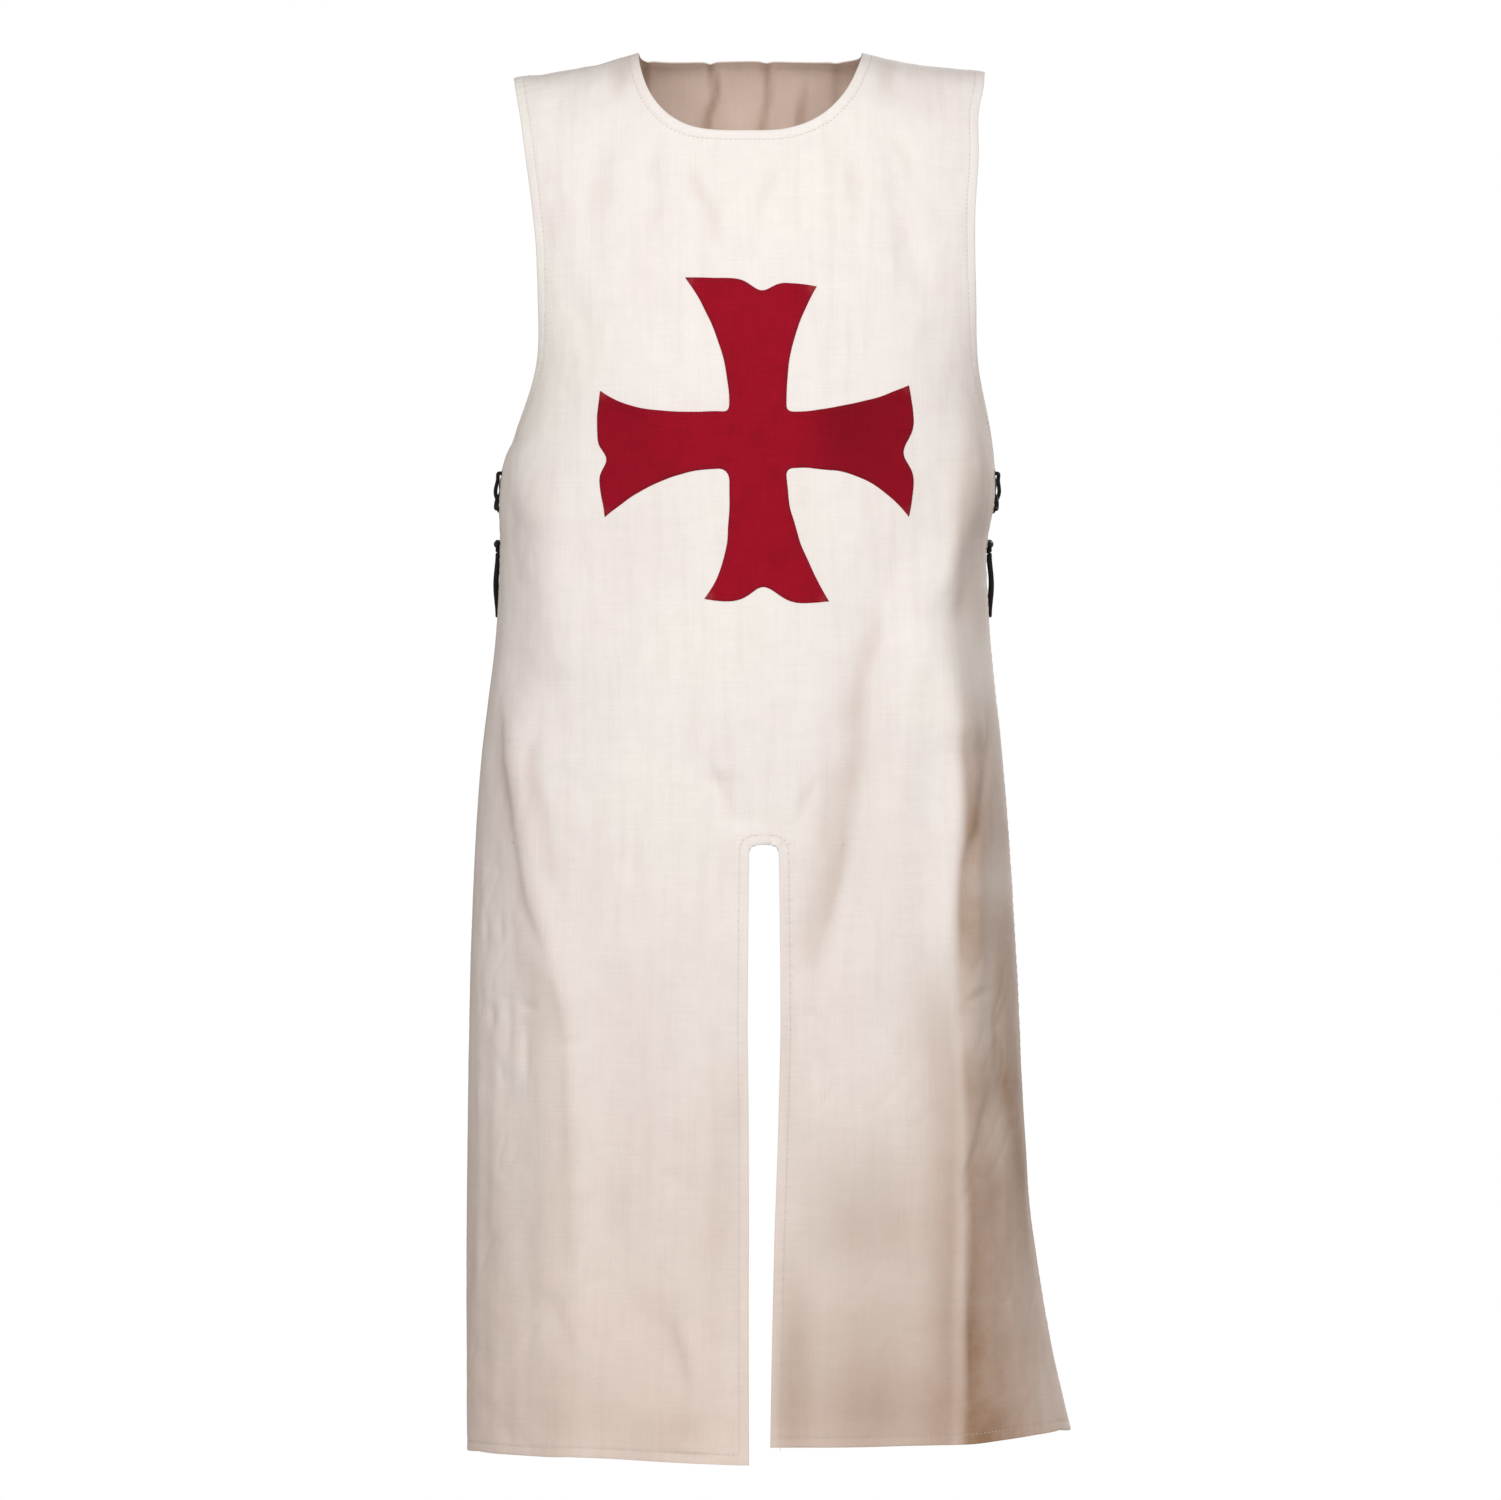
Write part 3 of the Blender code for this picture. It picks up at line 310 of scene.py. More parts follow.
BACK_CREASES = (
    # pulls under the collar, which show inside the neck as well
    (3.2, 3.6, -2.4, -41, -50, -39, -8, -33.5, 10, -32.5, 22, -38, 40, -41, 100),
    (3.6, 4, -1.8, 15, -50, 14.5, 4, 16, 20, 11, 46, 10, 100),
    (4.5, 4, -1.9, -93, -50, -94, 0, -98, 34, -104, 70),
    (3.6, 3.6, -2.1, 53, 0, 47, 36, 45.5, 60, 48, 110),
    (4.5, 4.5, -1, 80, -40, 78, 20, 79, 70),
    # drag lines that hang from the shoulders
    (8, 8, -0.9, -120, 60, -124, 110, -131, 192),
    (6.5, 9, -1.2, -40, 70, -44, 130, -38, 200, -41, 282),
    (8, 6.5, -1.1, 14, 76, 9, 150, 13, 230, 11, 300),
    (8, 8, -1, 60, 84, 67, 150, 63, 252),
    (6.5, 8, -1, 128, 70, 133, 140, 146, 222),
    (9, 10.5, -0.7, -82, 90, -80, 160, -86, 240),
    # pulls towards the lacing
    (11.5, 6.5, -1.1, -180, 330, -160, 372, -130, 420),
    (6.5, 11.5, -1.1, 176, 340, 160, 386, 136, 446),
    (6.5, 8, -0.9, -192, 414, -160, 441, -116, 470),
    (6.5, 8, -0.9, 188, 410, 150, 437, 112, 452),
    # the skirt's ridges and troughs
    (6.5, 9, 1.2, -152, 600, -158, 760, -155, 940, -162, 1228),
    (9, 6.5, 1.2, 160, 560, 171, 760, 167, 980, 176, 1228),
    (13, 5, -1.8, -72, 600, -79, 720, -70, 850, -86, 1014),
    (5, 13, -1.8, 94, 590, 105, 700, 98, 830, 110, 984),
    (5.5, 17, -1.8, 24, 430, 31, 520, 47, 592, 43, 664),
    (6, 6, -1.3, -36, 614, -22, 662, -8, 702),
    (6, 6, -1.1, 54, 636, 40, 672, 26, 702),
    (13, 8, -1.1, -210, 660, -202, 760, -205, 884),
    (8, 13, -1.1, 204, 740, 214, 860, 211, 1014),
    (10.5, 10.5, -0.7, -20, 860, -26, 960, -22, 1080),
    # creases pressed in while the cloth lay folded, and the short breaks near the hem
    (3, 3, -0.9, -118, 985, -92, 988, -70, 987),
    (3, 3, -0.8, 60, 1076, 92, 1074, 128, 1071),
    (10.5, 5, -1.3, -112, 1086, -104, 1130, -94, 1184),
    (5, 10.5, -1.3, 134, 1100, 130, 1150, 121, 1212),
    (8, 10.5, -0.9, -214, 1050, -220, 1120, -217, 1192),
    (6.5, 6.5, -0.9, 52, 1060, 45, 1130, 48, 1204),
    (3, 3, -1.2, -96, 1222, -72, 1226, -46, 1225),
)
STROKE_STEP = 0.005
# length in which a stroke dies away, how far it strays and in what length, how much its strength varies
CREASE_MANNER = {"taper": 0.045, "wander": 0.0007, "period": 0.016, "vary": 0.25}
SHADE_MANNER = {"taper": 0.140, "wander": 0.0040, "period": 0.090, "vary": 0.20}

# --- the hand of the cloth and its sewing -----------------------------------------------------------------

LATTICE = 64
SEEDS = {"front": 11, "back": 31}  # the first of six seeds that follow each other
HAND_LUMPS = (  # height, and size across and down: two upright waves, then two sorts of small unevenness
    (0.0010, 0.030, 0.210), (0.0006, 0.014, 0.120), (0.0004, 0.020, 0.026), (0.0002, 0.009, 0.012),
)
CRUMPLE_DEPTH, CRUMPLE_SLANT = 0.0008, 0.6
CRUMPLE_CELL, CRUMPLE_GAPS = (0.021, 0.062), (0.034, 0.050)
HEM_WIDTH = 0.0085  # from an edge to its stitches
HEM_EASES = 0.002  # width over which a hem thins to a single layer
NECK_PULL, SIDE_PULL, HEM_PULL = 0.4, 0.8, 0.9  # how hard the sewing of an edge pulls the cloth
SLIT_PULL = {-1.0: 0.8, 1.0: 1.5}  # the same for the slit's right and left edge
STITCH_GROOVE, GROOVE_WIDTH = 0.0003, 0.0012
PUCKER_HEIGHT, PUCKER_PITCH, PUCKER_WIDTH = 0.0007, 0.0090, 0.0050
EDGE_ROUNDING, ROUNDING_WIDTH = 0.0005, 0.0012
SEAM_GROOVE, SEAM_WIDTH = 0.0009, 0.0016

# --- painted shade: brown where the sides turn from the light and in the lee of the folds -----------------
# rows as for the creases, with a strength from 0 to 1 in place of the height

FRONT_SHADES = (
    # the wearer's right side: waist, the slanting fold below it, the side edge and the hem
    (12, 14, 0.08, -190, 360, -182, 420, -172, 480),
    (34, 8, 0.2, -219, 540, -205, 660, -198, 720, -185, 780, -172, 830, -165, 900, -162, 1000, -160, 1160),
    (12, 12, 0.12, -204, 570, -192, 650, -181, 710, -173, 790),
    (30, 30, 0.09, -232, 900, -230, 1040, -214, 1440),
    (40, 34, 0.14, -210, 1130, -130, 1210, -50, 1230),
    (14, 14, 0.16, -172, 1060, -170, 1150, -164, 1440),
    (20, 14, 0.12, -14, 820, -20, 1000, -30, 1180),
    (24, 16, 0.24, -110, 1206, -70, 1216, -20, 1224),
    (20, 20, 0.22, -130, 30, -100, 32),
    (20, 20, 0.22, 104, 28, 134, 28),
    # the wearer's left side, behind the ridge that runs from the armhole to the hem
    (10, 70, 0.46, 204, 290, 188, 420, 177, 590),
    (7, 70, 0.57, 179, 515, 186, 640, 185, 700, 182, 750, 183, 850, 190, 950, 190, 1060, 194, 1440),
    (20, 90, 0.2, 206, 900, 200, 1100, 204, 1440),
    (26, 6, 0.36, 172, 750, 170, 960, 170, 1080, 166, 1440),
    (9, 34, 0.36, 222, 720, 226, 900, 234, 980, 254, 1120),
    (18, 12, 0.2, 180, 900, 180, 1080, 180, 1280),
    (9, 12, 0.2, 194, 560, 190, 720, 190, 880),
    (6, 10, 0.12, 196, 940, 190, 1000, 190, 1100, 192, 1230),
    # the trough beside the slit, the slit's edge and the front of the left flap
    (10, 8, 0.16, 116, 500, 98, 600, 86, 680, 68, 780, 50, 880),
    (26, 30, 0.09, 104, 540, 96, 680, 92, 850),
    (12, 16, 0.14, 32, 800, 32, 900, 36, 1020),
    (16, 18, 0.34, 34, 1020, 36, 1160, 34, 1440),
    (50, 60, 0.32, 76, 910, 96, 1120, 104, 1440),
    (36, 44, 0.21, -30, 1190, 90, 1200, 300, 1220),
)
BACK_SHADES = (
    (50, 14, 0.34, -198, 280, -188, 430, -180, 540, -192, 700),
    (14, 50, 0.36, 202, 280, 188, 430, 180, 540, 194, 700),
    (20, 20, 0.2, -128, 20, -98, 22),
    (20, 20, 0.2, 102, 20, 130, 20),
    (60, 14, 0.4, -194, 600, -196, 800, -198, 1040, -204, 1440),
    (16, 60, 0.44, 196, 600, 200, 780, 202, 1020, 208, 1440),
    (30, 12, 0.1, 40, 440, 50, 560, 46, 690),
    (30, 12, 0.12, -78, 600, -74, 820, -88, 1140),
    (12, 30, 0.12, 98, 580, 98, 780, 112, 1120),
    (18, 24, 0.2, 36, 860, 36, 1100, 34, 1440),
    (22, 16, 0.14, -16, 900, -18, 1100, -16, 1440),
    (50, 50, 0.16, -200, 1220, -80, 1205),
    (50, 50, 0.16, 60, 1205, 200, 1220),
)
CROSS_SHADES = (  # how the arms of the cross turn away into shade, in rows as for the painted shade
    (30, 90, 0.72, 84, 200, 82, 360, 84, 520),
    (45, 36, 0.3, -112, 200, -112, 360, -110, 520),
)
INNER_SHADE, INNER_DEPTH = 0.62, -0.0024  # fullest painted shade in an inner crease, and its height there

# --- fineness of the meshes ---------------------------------------------------------------------------

# from an edge inwards, with one place on the line of the hem's stitches
EDGE_PLACES = np.array([0.0, 0.0008, 0.0025, 0.0048, 0.0068, HEM_WIDTH, 0.0100, 0.0120])
NECK_COLUMNS, SEAM_COLUMNS = 60, 44
COLUMNS_EVEN_OUT = 0.42
HALF_SECTION = 0.27  # usual length of cloth from the centre line to a side edge
ROW_STEP = 0.0039
LACING_STEP = 0.0022
LACING_DROPS = (0.366, 0.458)
ARCH_ROWS = np.array([0.004, 0.03, 0.10, 0.24, 0.45, 0.7, 1.0])
FINE_ROWS = 600
FLAT_ROWS, FLAT_COLUMNS = 160, 121  # of the table of lengths across the flat cloth

# --- the shape of the cloth ---------------------------------------------------------------------------


def eased(t):
    """0 up to t = 0, 1 from t = 1, and a smooth rise between: 3t^2 - 2t^3."""
    t = np.clip(t, 0.0, 1.0)
    return t * t * (3.0 - 2.0 * t)


def unit(vectors):
    """Vectors divided by their lengths."""
    return vectors / np.linalg.norm(vectors, axis=-1, keepdims=True)


def smooth_through(knots, values, at):
    """A smooth curve through (knot, value) pairs, read at other places: cubic pieces with shared slopes."""
    slopes = np.gradient(values, knots)
    i = np.clip(np.searchsorted(knots, at) - 1, 0, len(knots) - 2)
    width = knots[i + 1] - knots[i]
    t = np.clip((at - knots[i]) / width, 0.0, 1.0)
    rise = eased(t)
    bend = slopes[i] * t * (1 - t) ** 2 - slopes[i + 1] * t * t * (1 - t)
    return values[i] * (1 - rise) + values[i + 1] * rise + width * bend


def uneven(u, v, cell_u, cell_v, seed):
    """Seeded unevenness from -1 to 1: random heights on a lattice of cells, eased from knot to knot."""
    lattice = np.random.default_rng(seed).uniform(-1.0, 1.0, (LATTICE, LATTICE))
    i, j = np.floor(u / cell_u), np.floor(v / cell_v)
    s, t = eased(u / cell_u - i), eased(v / cell_v - j)
    i, j = i.astype(int) % LATTICE, j.astype(int) % LATTICE
    k, m = (i + 1) % LATTICE, (j + 1) % LATTICE
    near = lattice[i, j] * (1 - s) + lattice[k, j] * s
    far = lattice[i, m] * (1 - s) + lattice[k, m] * s
    return near * (1 - t) + far * t


def lengths_along(line):
    """The length of a line of points from its start to each point."""
    return np.concatenate([[0.0], np.cumsum(np.linalg.norm(np.diff(line, axis=0), axis=1))])


def smooth_line(points, step):
    """A smooth line through points, read at even steps: a Catmull-Rom curve in each coordinate."""
    keep = np.concatenate([[True], np.linalg.norm(np.diff(points, axis=0), axis=1) > 1e-5])
    points = points[keep]
    knots = lengths_along(points)
    at = np.linspace(0.0, knots[-1], max(4, round(knots[-1] / step)) + 1)
    return np.stack([smooth_through(knots, points[:, axis], at) for axis in range(points.shape[1])], axis=1)


def laid_out(rows, height_unit):
    """Strokes by name and in metres, from the rows of a table, with a smooth line through each one's
    points.
    """
    return [
        {
            "to_right": right * MILLIMETRE, "to_left": left * MILLIMETRE, "height": height * height_unit,
            "line": smooth_line(np.reshape(points, (-1, 2)) * MILLIMETRE, STROKE_STEP),
        }
        for right, left, height, *points in rows
    ]


def by_column(rows, units):
    """The columns of a table by name, each times its unit."""
    return {name: column * unit for (name, unit), column in zip(units.items(), np.array(rows).T)}


def arched(down, top, height):
    """The slit's share of its full width at lengths below its top: a quarter of a squared circle that high.
    """
    below = np.clip((down - top) / height, 0.0, 1.0)
    return (1.0 - (1.0 - below) ** SLIT_SQUARENESS) ** (1.0 / SLIT_SQUARENESS)


def rounded(distance, depth, width):
    """How far an edge falls away at a distance from it: the square of what is left of the width."""
    return depth * np.maximum(1.0 - distance / width, 0.0) ** 2


def foot_on(points, line):
    """For every point its nearest place on a line of points: the way to it from the start of the piece it
    lies on, that piece, the distance and the length along. Each point is dropped square on every straight
    piece.
    """
    steps, lengths = np.diff(line, axis=0), lengths_along(line)
    squares = (steps**2).sum(axis=1)
    offsets = points[:, None] - line[:-1]
    t = np.clip((offsets * steps).sum(axis=2) / squares, 0.0, 1.0)
    gaps = np.linalg.norm(offsets - t[..., None] * steps, axis=2)
    best, rows = gaps.argmin(axis=1), np.arange(len(points))
    along = lengths[best] + t[rows, best] * np.sqrt(squares[best])
    return offsets[rows, best], steps[best], gaps[rows, best], along


def nearest_on(points, line, within=0.024):
    """(distance, length along) of the nearest place on a line of points, for every point closer than about
    within; the others get that distance.
    """
    distance, along = np.full(len(points), within), np.zeros(len(points))
    skip = max(1, len(line) // 24)
    reach = within + np.diff(lengths_along(line)[::skip]).max(initial=0.0)
    close = np.linalg.norm(points[:, None] - line[::skip], axis=2).min(axis=1) < reach
    _, _, gaps, along[close] = foot_on(points[close], line)
    distance[close] = np.minimum(gaps, within)
    return distance, along


def beside(places, line, within):
    """Which flat places lie within a distance of a line, their distances from it and the lengths along it.
    A distance is positive on the +x side of a line that runs down, and negative on the other side.
    """
    box = np.all((places > line.min(axis=0) - within) & (places < line.max(axis=0) + within), axis=1)
    chosen = np.flatnonzero(box)
    way, piece, gaps, along = foot_on(places[chosen], line)
    return chosen, np.sign(way[:, 0] * piece[:, 1] - way[:, 1] * piece[:, 0]) * gaps, along


class Cloth:
    """One panel of the surcoat. face(across, down) is its outer side, with every fold and crease."""

    hem_width = HEM_WIDTH
    crease_strength = 1.0

    def __init__(self, name, facing, sections, folds, creases, painted_shades, hem, slit):
        self.name, self.facing = name, facing  # facing is -1 for the front panel, +1 for the back
        self.neck_depth, self.neck_square = NECK_DEPTH[name], NECK_SQUARENESS[name]
        self.hem, self.slit = by_column(hem, HEM_COLUMNS), by_column(slit, SLIT_COLUMNS)
        table = by_column(sections, SECTION_COLUMNS)
        steps = np.hypot(np.diff(table["drop"]), np.diff(table["depth"]))
        knots = np.concatenate([[0.0], np.cumsum(steps)])
        self.length = knots[-1]
        self.downs = np.linspace(0.0, self.length, FINE_ROWS)
        self.fine = {column: smooth_through(knots, table[column], self.downs) for column in SECTION_COLUMNS}
        rows = np.array(folds) * MILLIMETRE
        self.folds = [self.fold_line(dict(zip(FOLD_COLUMNS, row))) for row in rows]
        self.creases, self.painted_shades = laid_out(creases, MILLIMETRE), laid_out(painted_shades, 1.0)
        self.hem_lines, self.seam_lines = self.edge_lines()

    def at(self, column, down):
        """One column of the sections at lengths down, read between the fine rows. Below the last section
        the cloth hangs straight.
        """
        beyond = np.maximum(down - self.length, 0.0) if column == "drop" else 0.0
        return np.interp(down, self.downs, self.fine[column]) + beyond

    def down_at(self, drop):
        """The length down at a drop below the origin."""
        last = self.fine["drop"][-1]
        return np.interp(drop, self.fine["drop"], self.downs) + np.maximum(drop - last, 0.0)

    def side(self, sign, down):
        """(half width, squareness, angle of the side edge) of a section, on the side of that sign."""
        left, centre = np.asarray(sign) >= 0, self.at("centre", down)
        width = np.where(left, self.at("left", down) - centre, self.at("right", down) + centre)
        square = np.where(left, self.at("square_l", down), self.at("square_r", down))
        angle = np.arcsin((1.0 - self.at("board", down) ** square) ** (1.0 / square))
        return width, square, angle

    def across_at(self, x, down):
        """The across value of an x at a length down: the inverse of the sine in bare()."""
        offset = x - self.at("centre", down)
        width, _, angle = self.side(offset, down)
        share = np.clip(np.abs(offset) / width, 0.0, 1.0)
        return np.sign(offset) * np.arcsin(share * np.sin(angle)) / angle

    def bare(self, across, down):
        """The surface without folds. On a section x runs with sin(across * angle), and the depth shrinks as
        (1 - sin ** square) ** (1 / square). The shoulder's fall bends the whole section down at the tips.
        """
        width, square, angle = self.side(across, down)
        turn = np.minimum(np.sin(np.abs(across) * angle), 1.0)
        x = self.at("centre", down) + np.sign(across) * width * turn / np.sin(angle)
        y = self.facing * self.at("depth", down) * (1.0 - turn**square) ** (1.0 / square)
        beyond = (np.abs(x) - NECK_HALF_WIDTH) / (SHOULDER_HALF_WIDTH - NECK_HALF_WIDTH)
        fall = np.where(across < 0, SHOULDER_FALL[-1], SHOULDER_FALL[1]) * beyond * (1.8 - 0.8 * beyond)
        rise = NECK_RISE[self.name] * (1.0 - (x / NECK_HALF_WIDTH) ** 2)
        lift = np.where(beyond > 0, -fall, rise) * (1.0 - eased(down / FALL_FADES))
        return np.stack([x, y, lift - self.at("drop", down)], axis=-1)

    def fold_line(self, fold):
        """A fold's two ends turned from x and drop into across and down."""
        for end in ("from", "to"):
            down = float(self.down_at(fold[end + "_drop"]))
            fold[end + "_down"], fold[end + "_across"] = down, float(self.across_at(fold[end + "_x"], down))
        return fold

    def fold_height(self, across, down):
        """The solids' folds added up: each is a bell-shaped ridge or trough round a slanting line. The half
        width changes smoothly from the right side's to the left side's round the centre line.
        """
        right, left = self.side(-1.0, down)[0], self.side(1.0, down)[0]
        width = right + (left - right) * eased(0.5 + across / 0.4)
        total = np.zeros(np.broadcast(across, down).shape)
        for fold in self.folds:
            along = (down - fold["from_down"]) / (fold["to_down"] - fold["from_down"])
            lean = fold["to_across"] - fold["from_across"]
            line = fold["from_across"] + lean * np.clip(along, 0.0, 1.0)
            away = (across - line) * width / fold["spread"]
            ends = eased(along * 3.0 + 0.5) * eased((1.0 - along) * 3.0 + 0.5)
            total = total + fold["height"] * np.exp(-(away**2)) * ends
        return total

    def strokes(self, here, rows, taper, wander, period, vary):
        """Creases or painted shade added up, at places of the bare surface as they are seen from the front.
        Each is bell-shaped across its line, with its own width on each side. It wanders a little with that
        period, varies in strength along its length by that share and dies away over the taper at its ends.
        """
        places = here[..., (0, 2)].reshape(-1, 2) * (1.0, -1.0)
        total = np.zeros(len(places))
        for number, stroke in enumerate(rows):
            wide = 3.0 * max(stroke["to_right"], stroke["to_left"])
            chosen, away, along = beside(places, stroke["line"], wide)
            lane = np.full(len(along), float(number))
            away = away + wander * uneven(along, lane, period, 1.0, 61)
            width = np.where(away < 0, stroke["to_right"], stroke["to_left"])
            length = lengths_along(stroke["line"])[-1]
            fade = min(taper, length / 2)
            ends = eased(along / fade) * eased((length - along) / fade)
            strength = stroke["height"] * (1.0 + vary * uneven(along, lane, 0.045, 1.0, 62))
            total[chosen] += strength * ends * np.exp(-((away / width) ** 2))
        return total.reshape(here.shape[:-1])

    def frame(self, across, down):
        """The bare surface and its outward normal, found by short steps along it."""
        step = 1e-4
        here = self.bare(across, down)
        sideways = self.bare(across + step, down) - self.bare(across - step, down)
        downwards = self.bare(across, down + step) - self.bare(across, np.maximum(down - step, 0.0))
        return here, unit(np.cross(sideways, downwards) * self.facing)

    def point(self, across, down, out=0.0):
        """A point of the solid's outer face, moved out by that much."""
        across, down = np.asarray(across, float), np.asarray(down, float)
        here, normal = self.frame(across, down)
        return here + normal * (self.fold_height(across, down) + out)[..., None]

    def hand(self, across, down):
        """The hand of washed canvas: shallow upright waves and slanting crumples, both stronger in the
        skirt, and small unevenness all over. A crumple is a narrow groove where its unevenness passes zero,
        and it is left out wherever a second, wider unevenness is below zero, so that it ends and never
        closes a ring.
        """
        u, v = across * self.side(across, down)[0], down
        seed = SEEDS[self.name]
        skirt = 0.30 + 1.00 * eased((down - 0.55) / 0.5)
        lumps = [height * uneven(u, v, *cell, seed + k) for k, (height, *cell) in enumerate(HAND_LUMPS)]
        waves, small = lumps[0] + lumps[1], lumps[2] + lumps[3]
        slant, rise = u + CRUMPLE_SLANT * v, v - CRUMPLE_SLANT * u
        kept = eased(uneven(slant, rise, *CRUMPLE_GAPS, seed + 5) / 0.45)
        groove = (1.0 - np.abs(uneven(slant, rise, *CRUMPLE_CELL, seed + 4))) ** 7
        return ((waves - CRUMPLE_DEPTH * kept * groove) * skirt + small) * self.crease_strength

    def sewn(self, near):
        """(height, pucker): how the hem and the seam shape the outer face, from the distance to an edge and
        the length along it. The turned edge is rounded off, the stitching line sinks in and puckers the
        cloth, and the shoulder seam is a narrow groove.
        """
        level = np.zeros_like(near["along"])
        groove = STITCH_GROOVE * np.exp(-(((near["hem"] - self.hem_width) / GROOVE_WIDTH) ** 2))
        phase = near["along"] / PUCKER_PITCH + 0.6 * uneven(near["along"], level, 0.03, 1.0, 7)
        strength = 0.5 + 0.5 * uneven(near["along"], level, 0.055, 1.0, 8)
        pucker = PUCKER_HEIGHT * near["pull"] * strength * np.sin(2 * np.pi * phase)
        pucker = pucker * np.exp(-(((near["hem"] - self.hem_width * 0.9) / PUCKER_WIDTH) ** 2))
        edge = rounded(near["hem"], EDGE_ROUNDING, ROUNDING_WIDTH)
        seam = SEAM_GROOVE * np.exp(-((near["seam"] / SEAM_WIDTH) ** 2))
        return pucker - groove - edge - seam, pucker

    def face(self, across, down, out=0.0):
        """The finished outer face: the bare surface plus folds, creases, the cloth's hand and the sewing,
        all along its normal. Gives the points and normals, their height over the bare surface, the distance
        to the nearest edge, and how deep a place lies in its creases.
        """
        across, down = np.broadcast_arrays(np.asarray(across, float), np.asarray(down, float))
        here, normal = self.frame(across, down)
        near = self.near_edges(here)
        calm = eased(near["hem"] / 0.02) * 0.75 + 0.25
        folds = self.fold_height(across, down)
        creases = self.crease_strength * self.strokes(here, self.creases, **CREASE_MANNER)
        # painted shade where the sides turn away from the light and in the lee of the folds
        stain = np.clip(self.strokes(here, self.painted_shades, **SHADE_MANNER), 0.0, 1.0)
        sewing, pucker = self.sewn(near)
        height = folds + creases + self.hand(across, down) * calm + sewing + out
        # hollow sets the painted shade in the creases and puckers
        return {
            "points": here + normal * height[..., None], "normals": normal, "height": height,
            "hem": near["hem"], "hollow": creases + 0.15 * folds + 1.6 * pucker, "stain": stain,
        }

    def flat(self, across, down):
        """Places in the flat cloth as metres across from the centre line and metres up from the seam.
        Lengths across follow level lines of the bare surface, so that the threads run straight past the
        neckline.
        """
        downs = np.linspace(0.0, self.length * 1.03, FLAT_ROWS)
        lines = self.bare(*np.meshgrid(np.linspace(-1.0, 1.0, FLAT_COLUMNS), downs))
        steps = np.linalg.norm(np.diff(lines, axis=1), axis=2)
        table = np.concatenate([np.zeros((FLAT_ROWS, 1)), np.cumsum(steps, axis=1)], axis=1)
        table = table - table[:, FLAT_COLUMNS // 2, None]
        row = np.clip(down / downs[-1], 0.0, 0.999999) * (FLAT_ROWS - 1)
        column = np.clip((across + 1.0) / 2.0, 0.0, 0.999999) * (FLAT_COLUMNS - 1)
        i, j = row.astype(int), column.astype(int)
        s, t = row - i, column - j
        upper = table[i, j] * (1 - t) + table[i, j + 1] * t
        lower = table[i + 1, j] * (1 - t) + table[i + 1, j + 1] * t
        return np.stack([upper * (1 - s) + lower * s, -down], axis=-1)

    def neckline(self, share, inset=0.0):
        """(x, down) of the neckline at shares from -1 at the right neck point to 1 at the left one: a
        squared circle by its polar angle, stretched to the neck's half width and depth.
        """
        angle = share * np.pi / 2
        square = np.where(share < 0, *self.neck_square)
        reach = (np.abs(np.sin(angle)) ** square + np.cos(angle) ** square) ** (-1.0 / square)
        half, depth = NECK_HALF_WIDTH + inset, self.neck_depth + inset
        return half * reach * np.sin(angle), depth * reach * np.cos(angle)

    def slit_half(self, drop):
        """Half the slit's width at a drop below the origin."""
        return arched(drop, self.slit["drop"][0], SLIT_ARCH) * np.interp(drop, *self.slit.values())

    def inner_edge(self, sign, down):
        """The across value of the slit's edge at a length down: the centre line above the slit."""
        half = self.slit_half(self.at("drop", down))
        return sign * np.abs(self.across_at(self.at("centre", down) + sign * half, down))

    def hem_down(self, across):
        """The length down at which the cloth is cut."""
        sign = np.where(across < 0, -1.0, 1.0)
        beside_slit = sign * np.maximum(np.abs(across), HEM_STEP)
        return self.length + np.interp(beside_slit, self.hem["across"], self.hem["extra"])

    def edge_lines(self):
        """The edges of the panel as lines of points on the bare surface. The hemmed ones, each with how
        hard its sewing pulls, are the neckline, the side edges, the slit and the hem; the others are the
        two halves of the shoulder seam.
        """
        slit_top = float(self.down_at(self.slit["drop"][0]))
        share = np.linspace(-1.0, 1.0, 121)
        x, neck_down = self.neckline(share)
        hemmed = [(self.bare(self.across_at(x, neck_down), neck_down), NECK_PULL)]
        seams = []
        for sign in (-1.0, 1.0):
            bottom = float(self.hem_down(np.array(sign)))
            hemmed.append((self.bare(np.full(200, sign), np.linspace(0.0, bottom, 200)), SIDE_PULL))
            skirt = np.concatenate([
                slit_top + SLIT_ARCH * np.linspace(0.0, 1.0, 12) ** 2,
                np.linspace(slit_top + SLIT_ARCH, float(self.hem_down(np.array(sign * 0.05))), 90)[1:],
            ])
            hemmed.append((self.bare(self.inner_edge(sign, skirt), skirt), SLIT_PULL[sign]))
            across = sign * np.linspace(abs(float(self.inner_edge(sign, self.length))), 1.0, 60)
            hemmed.append((self.bare(across, self.hem_down(across)), HEM_PULL))
            seam = sign * np.linspace(abs(float(self.across_at(sign * NECK_HALF_WIDTH, 0.0))), 1.0, 24)
            seams.append(self.bare(seam, np.zeros(24)))
        return hemmed, seams

    def near_edges(self, here):
        """Distance to the nearest hemmed edge, length along that edge, the pull of its sewing, and distance
        to the shoulder seam.
        """
        points = here.reshape(-1, 3)
        hem, offset = np.full(len(points), 0.03), 0.0
        along, pull = np.zeros((2, len(points)))
        for line, strength in self.hem_lines:
            distance, length = nearest_on(points, line)
            closer = distance < hem
            hem[closer], along[closer], pull[closer] = distance[closer], length[closer] + offset, strength
            offset += lengths_along(line)[-1]
        seam = np.minimum(*(nearest_on(points, line)[0] for line in self.seam_lines))
        found = {"hem": hem, "along": along, "pull": pull, "seam": seam}
        return {name: value.reshape(here.shape[:-1]) for name, value in found.items()}

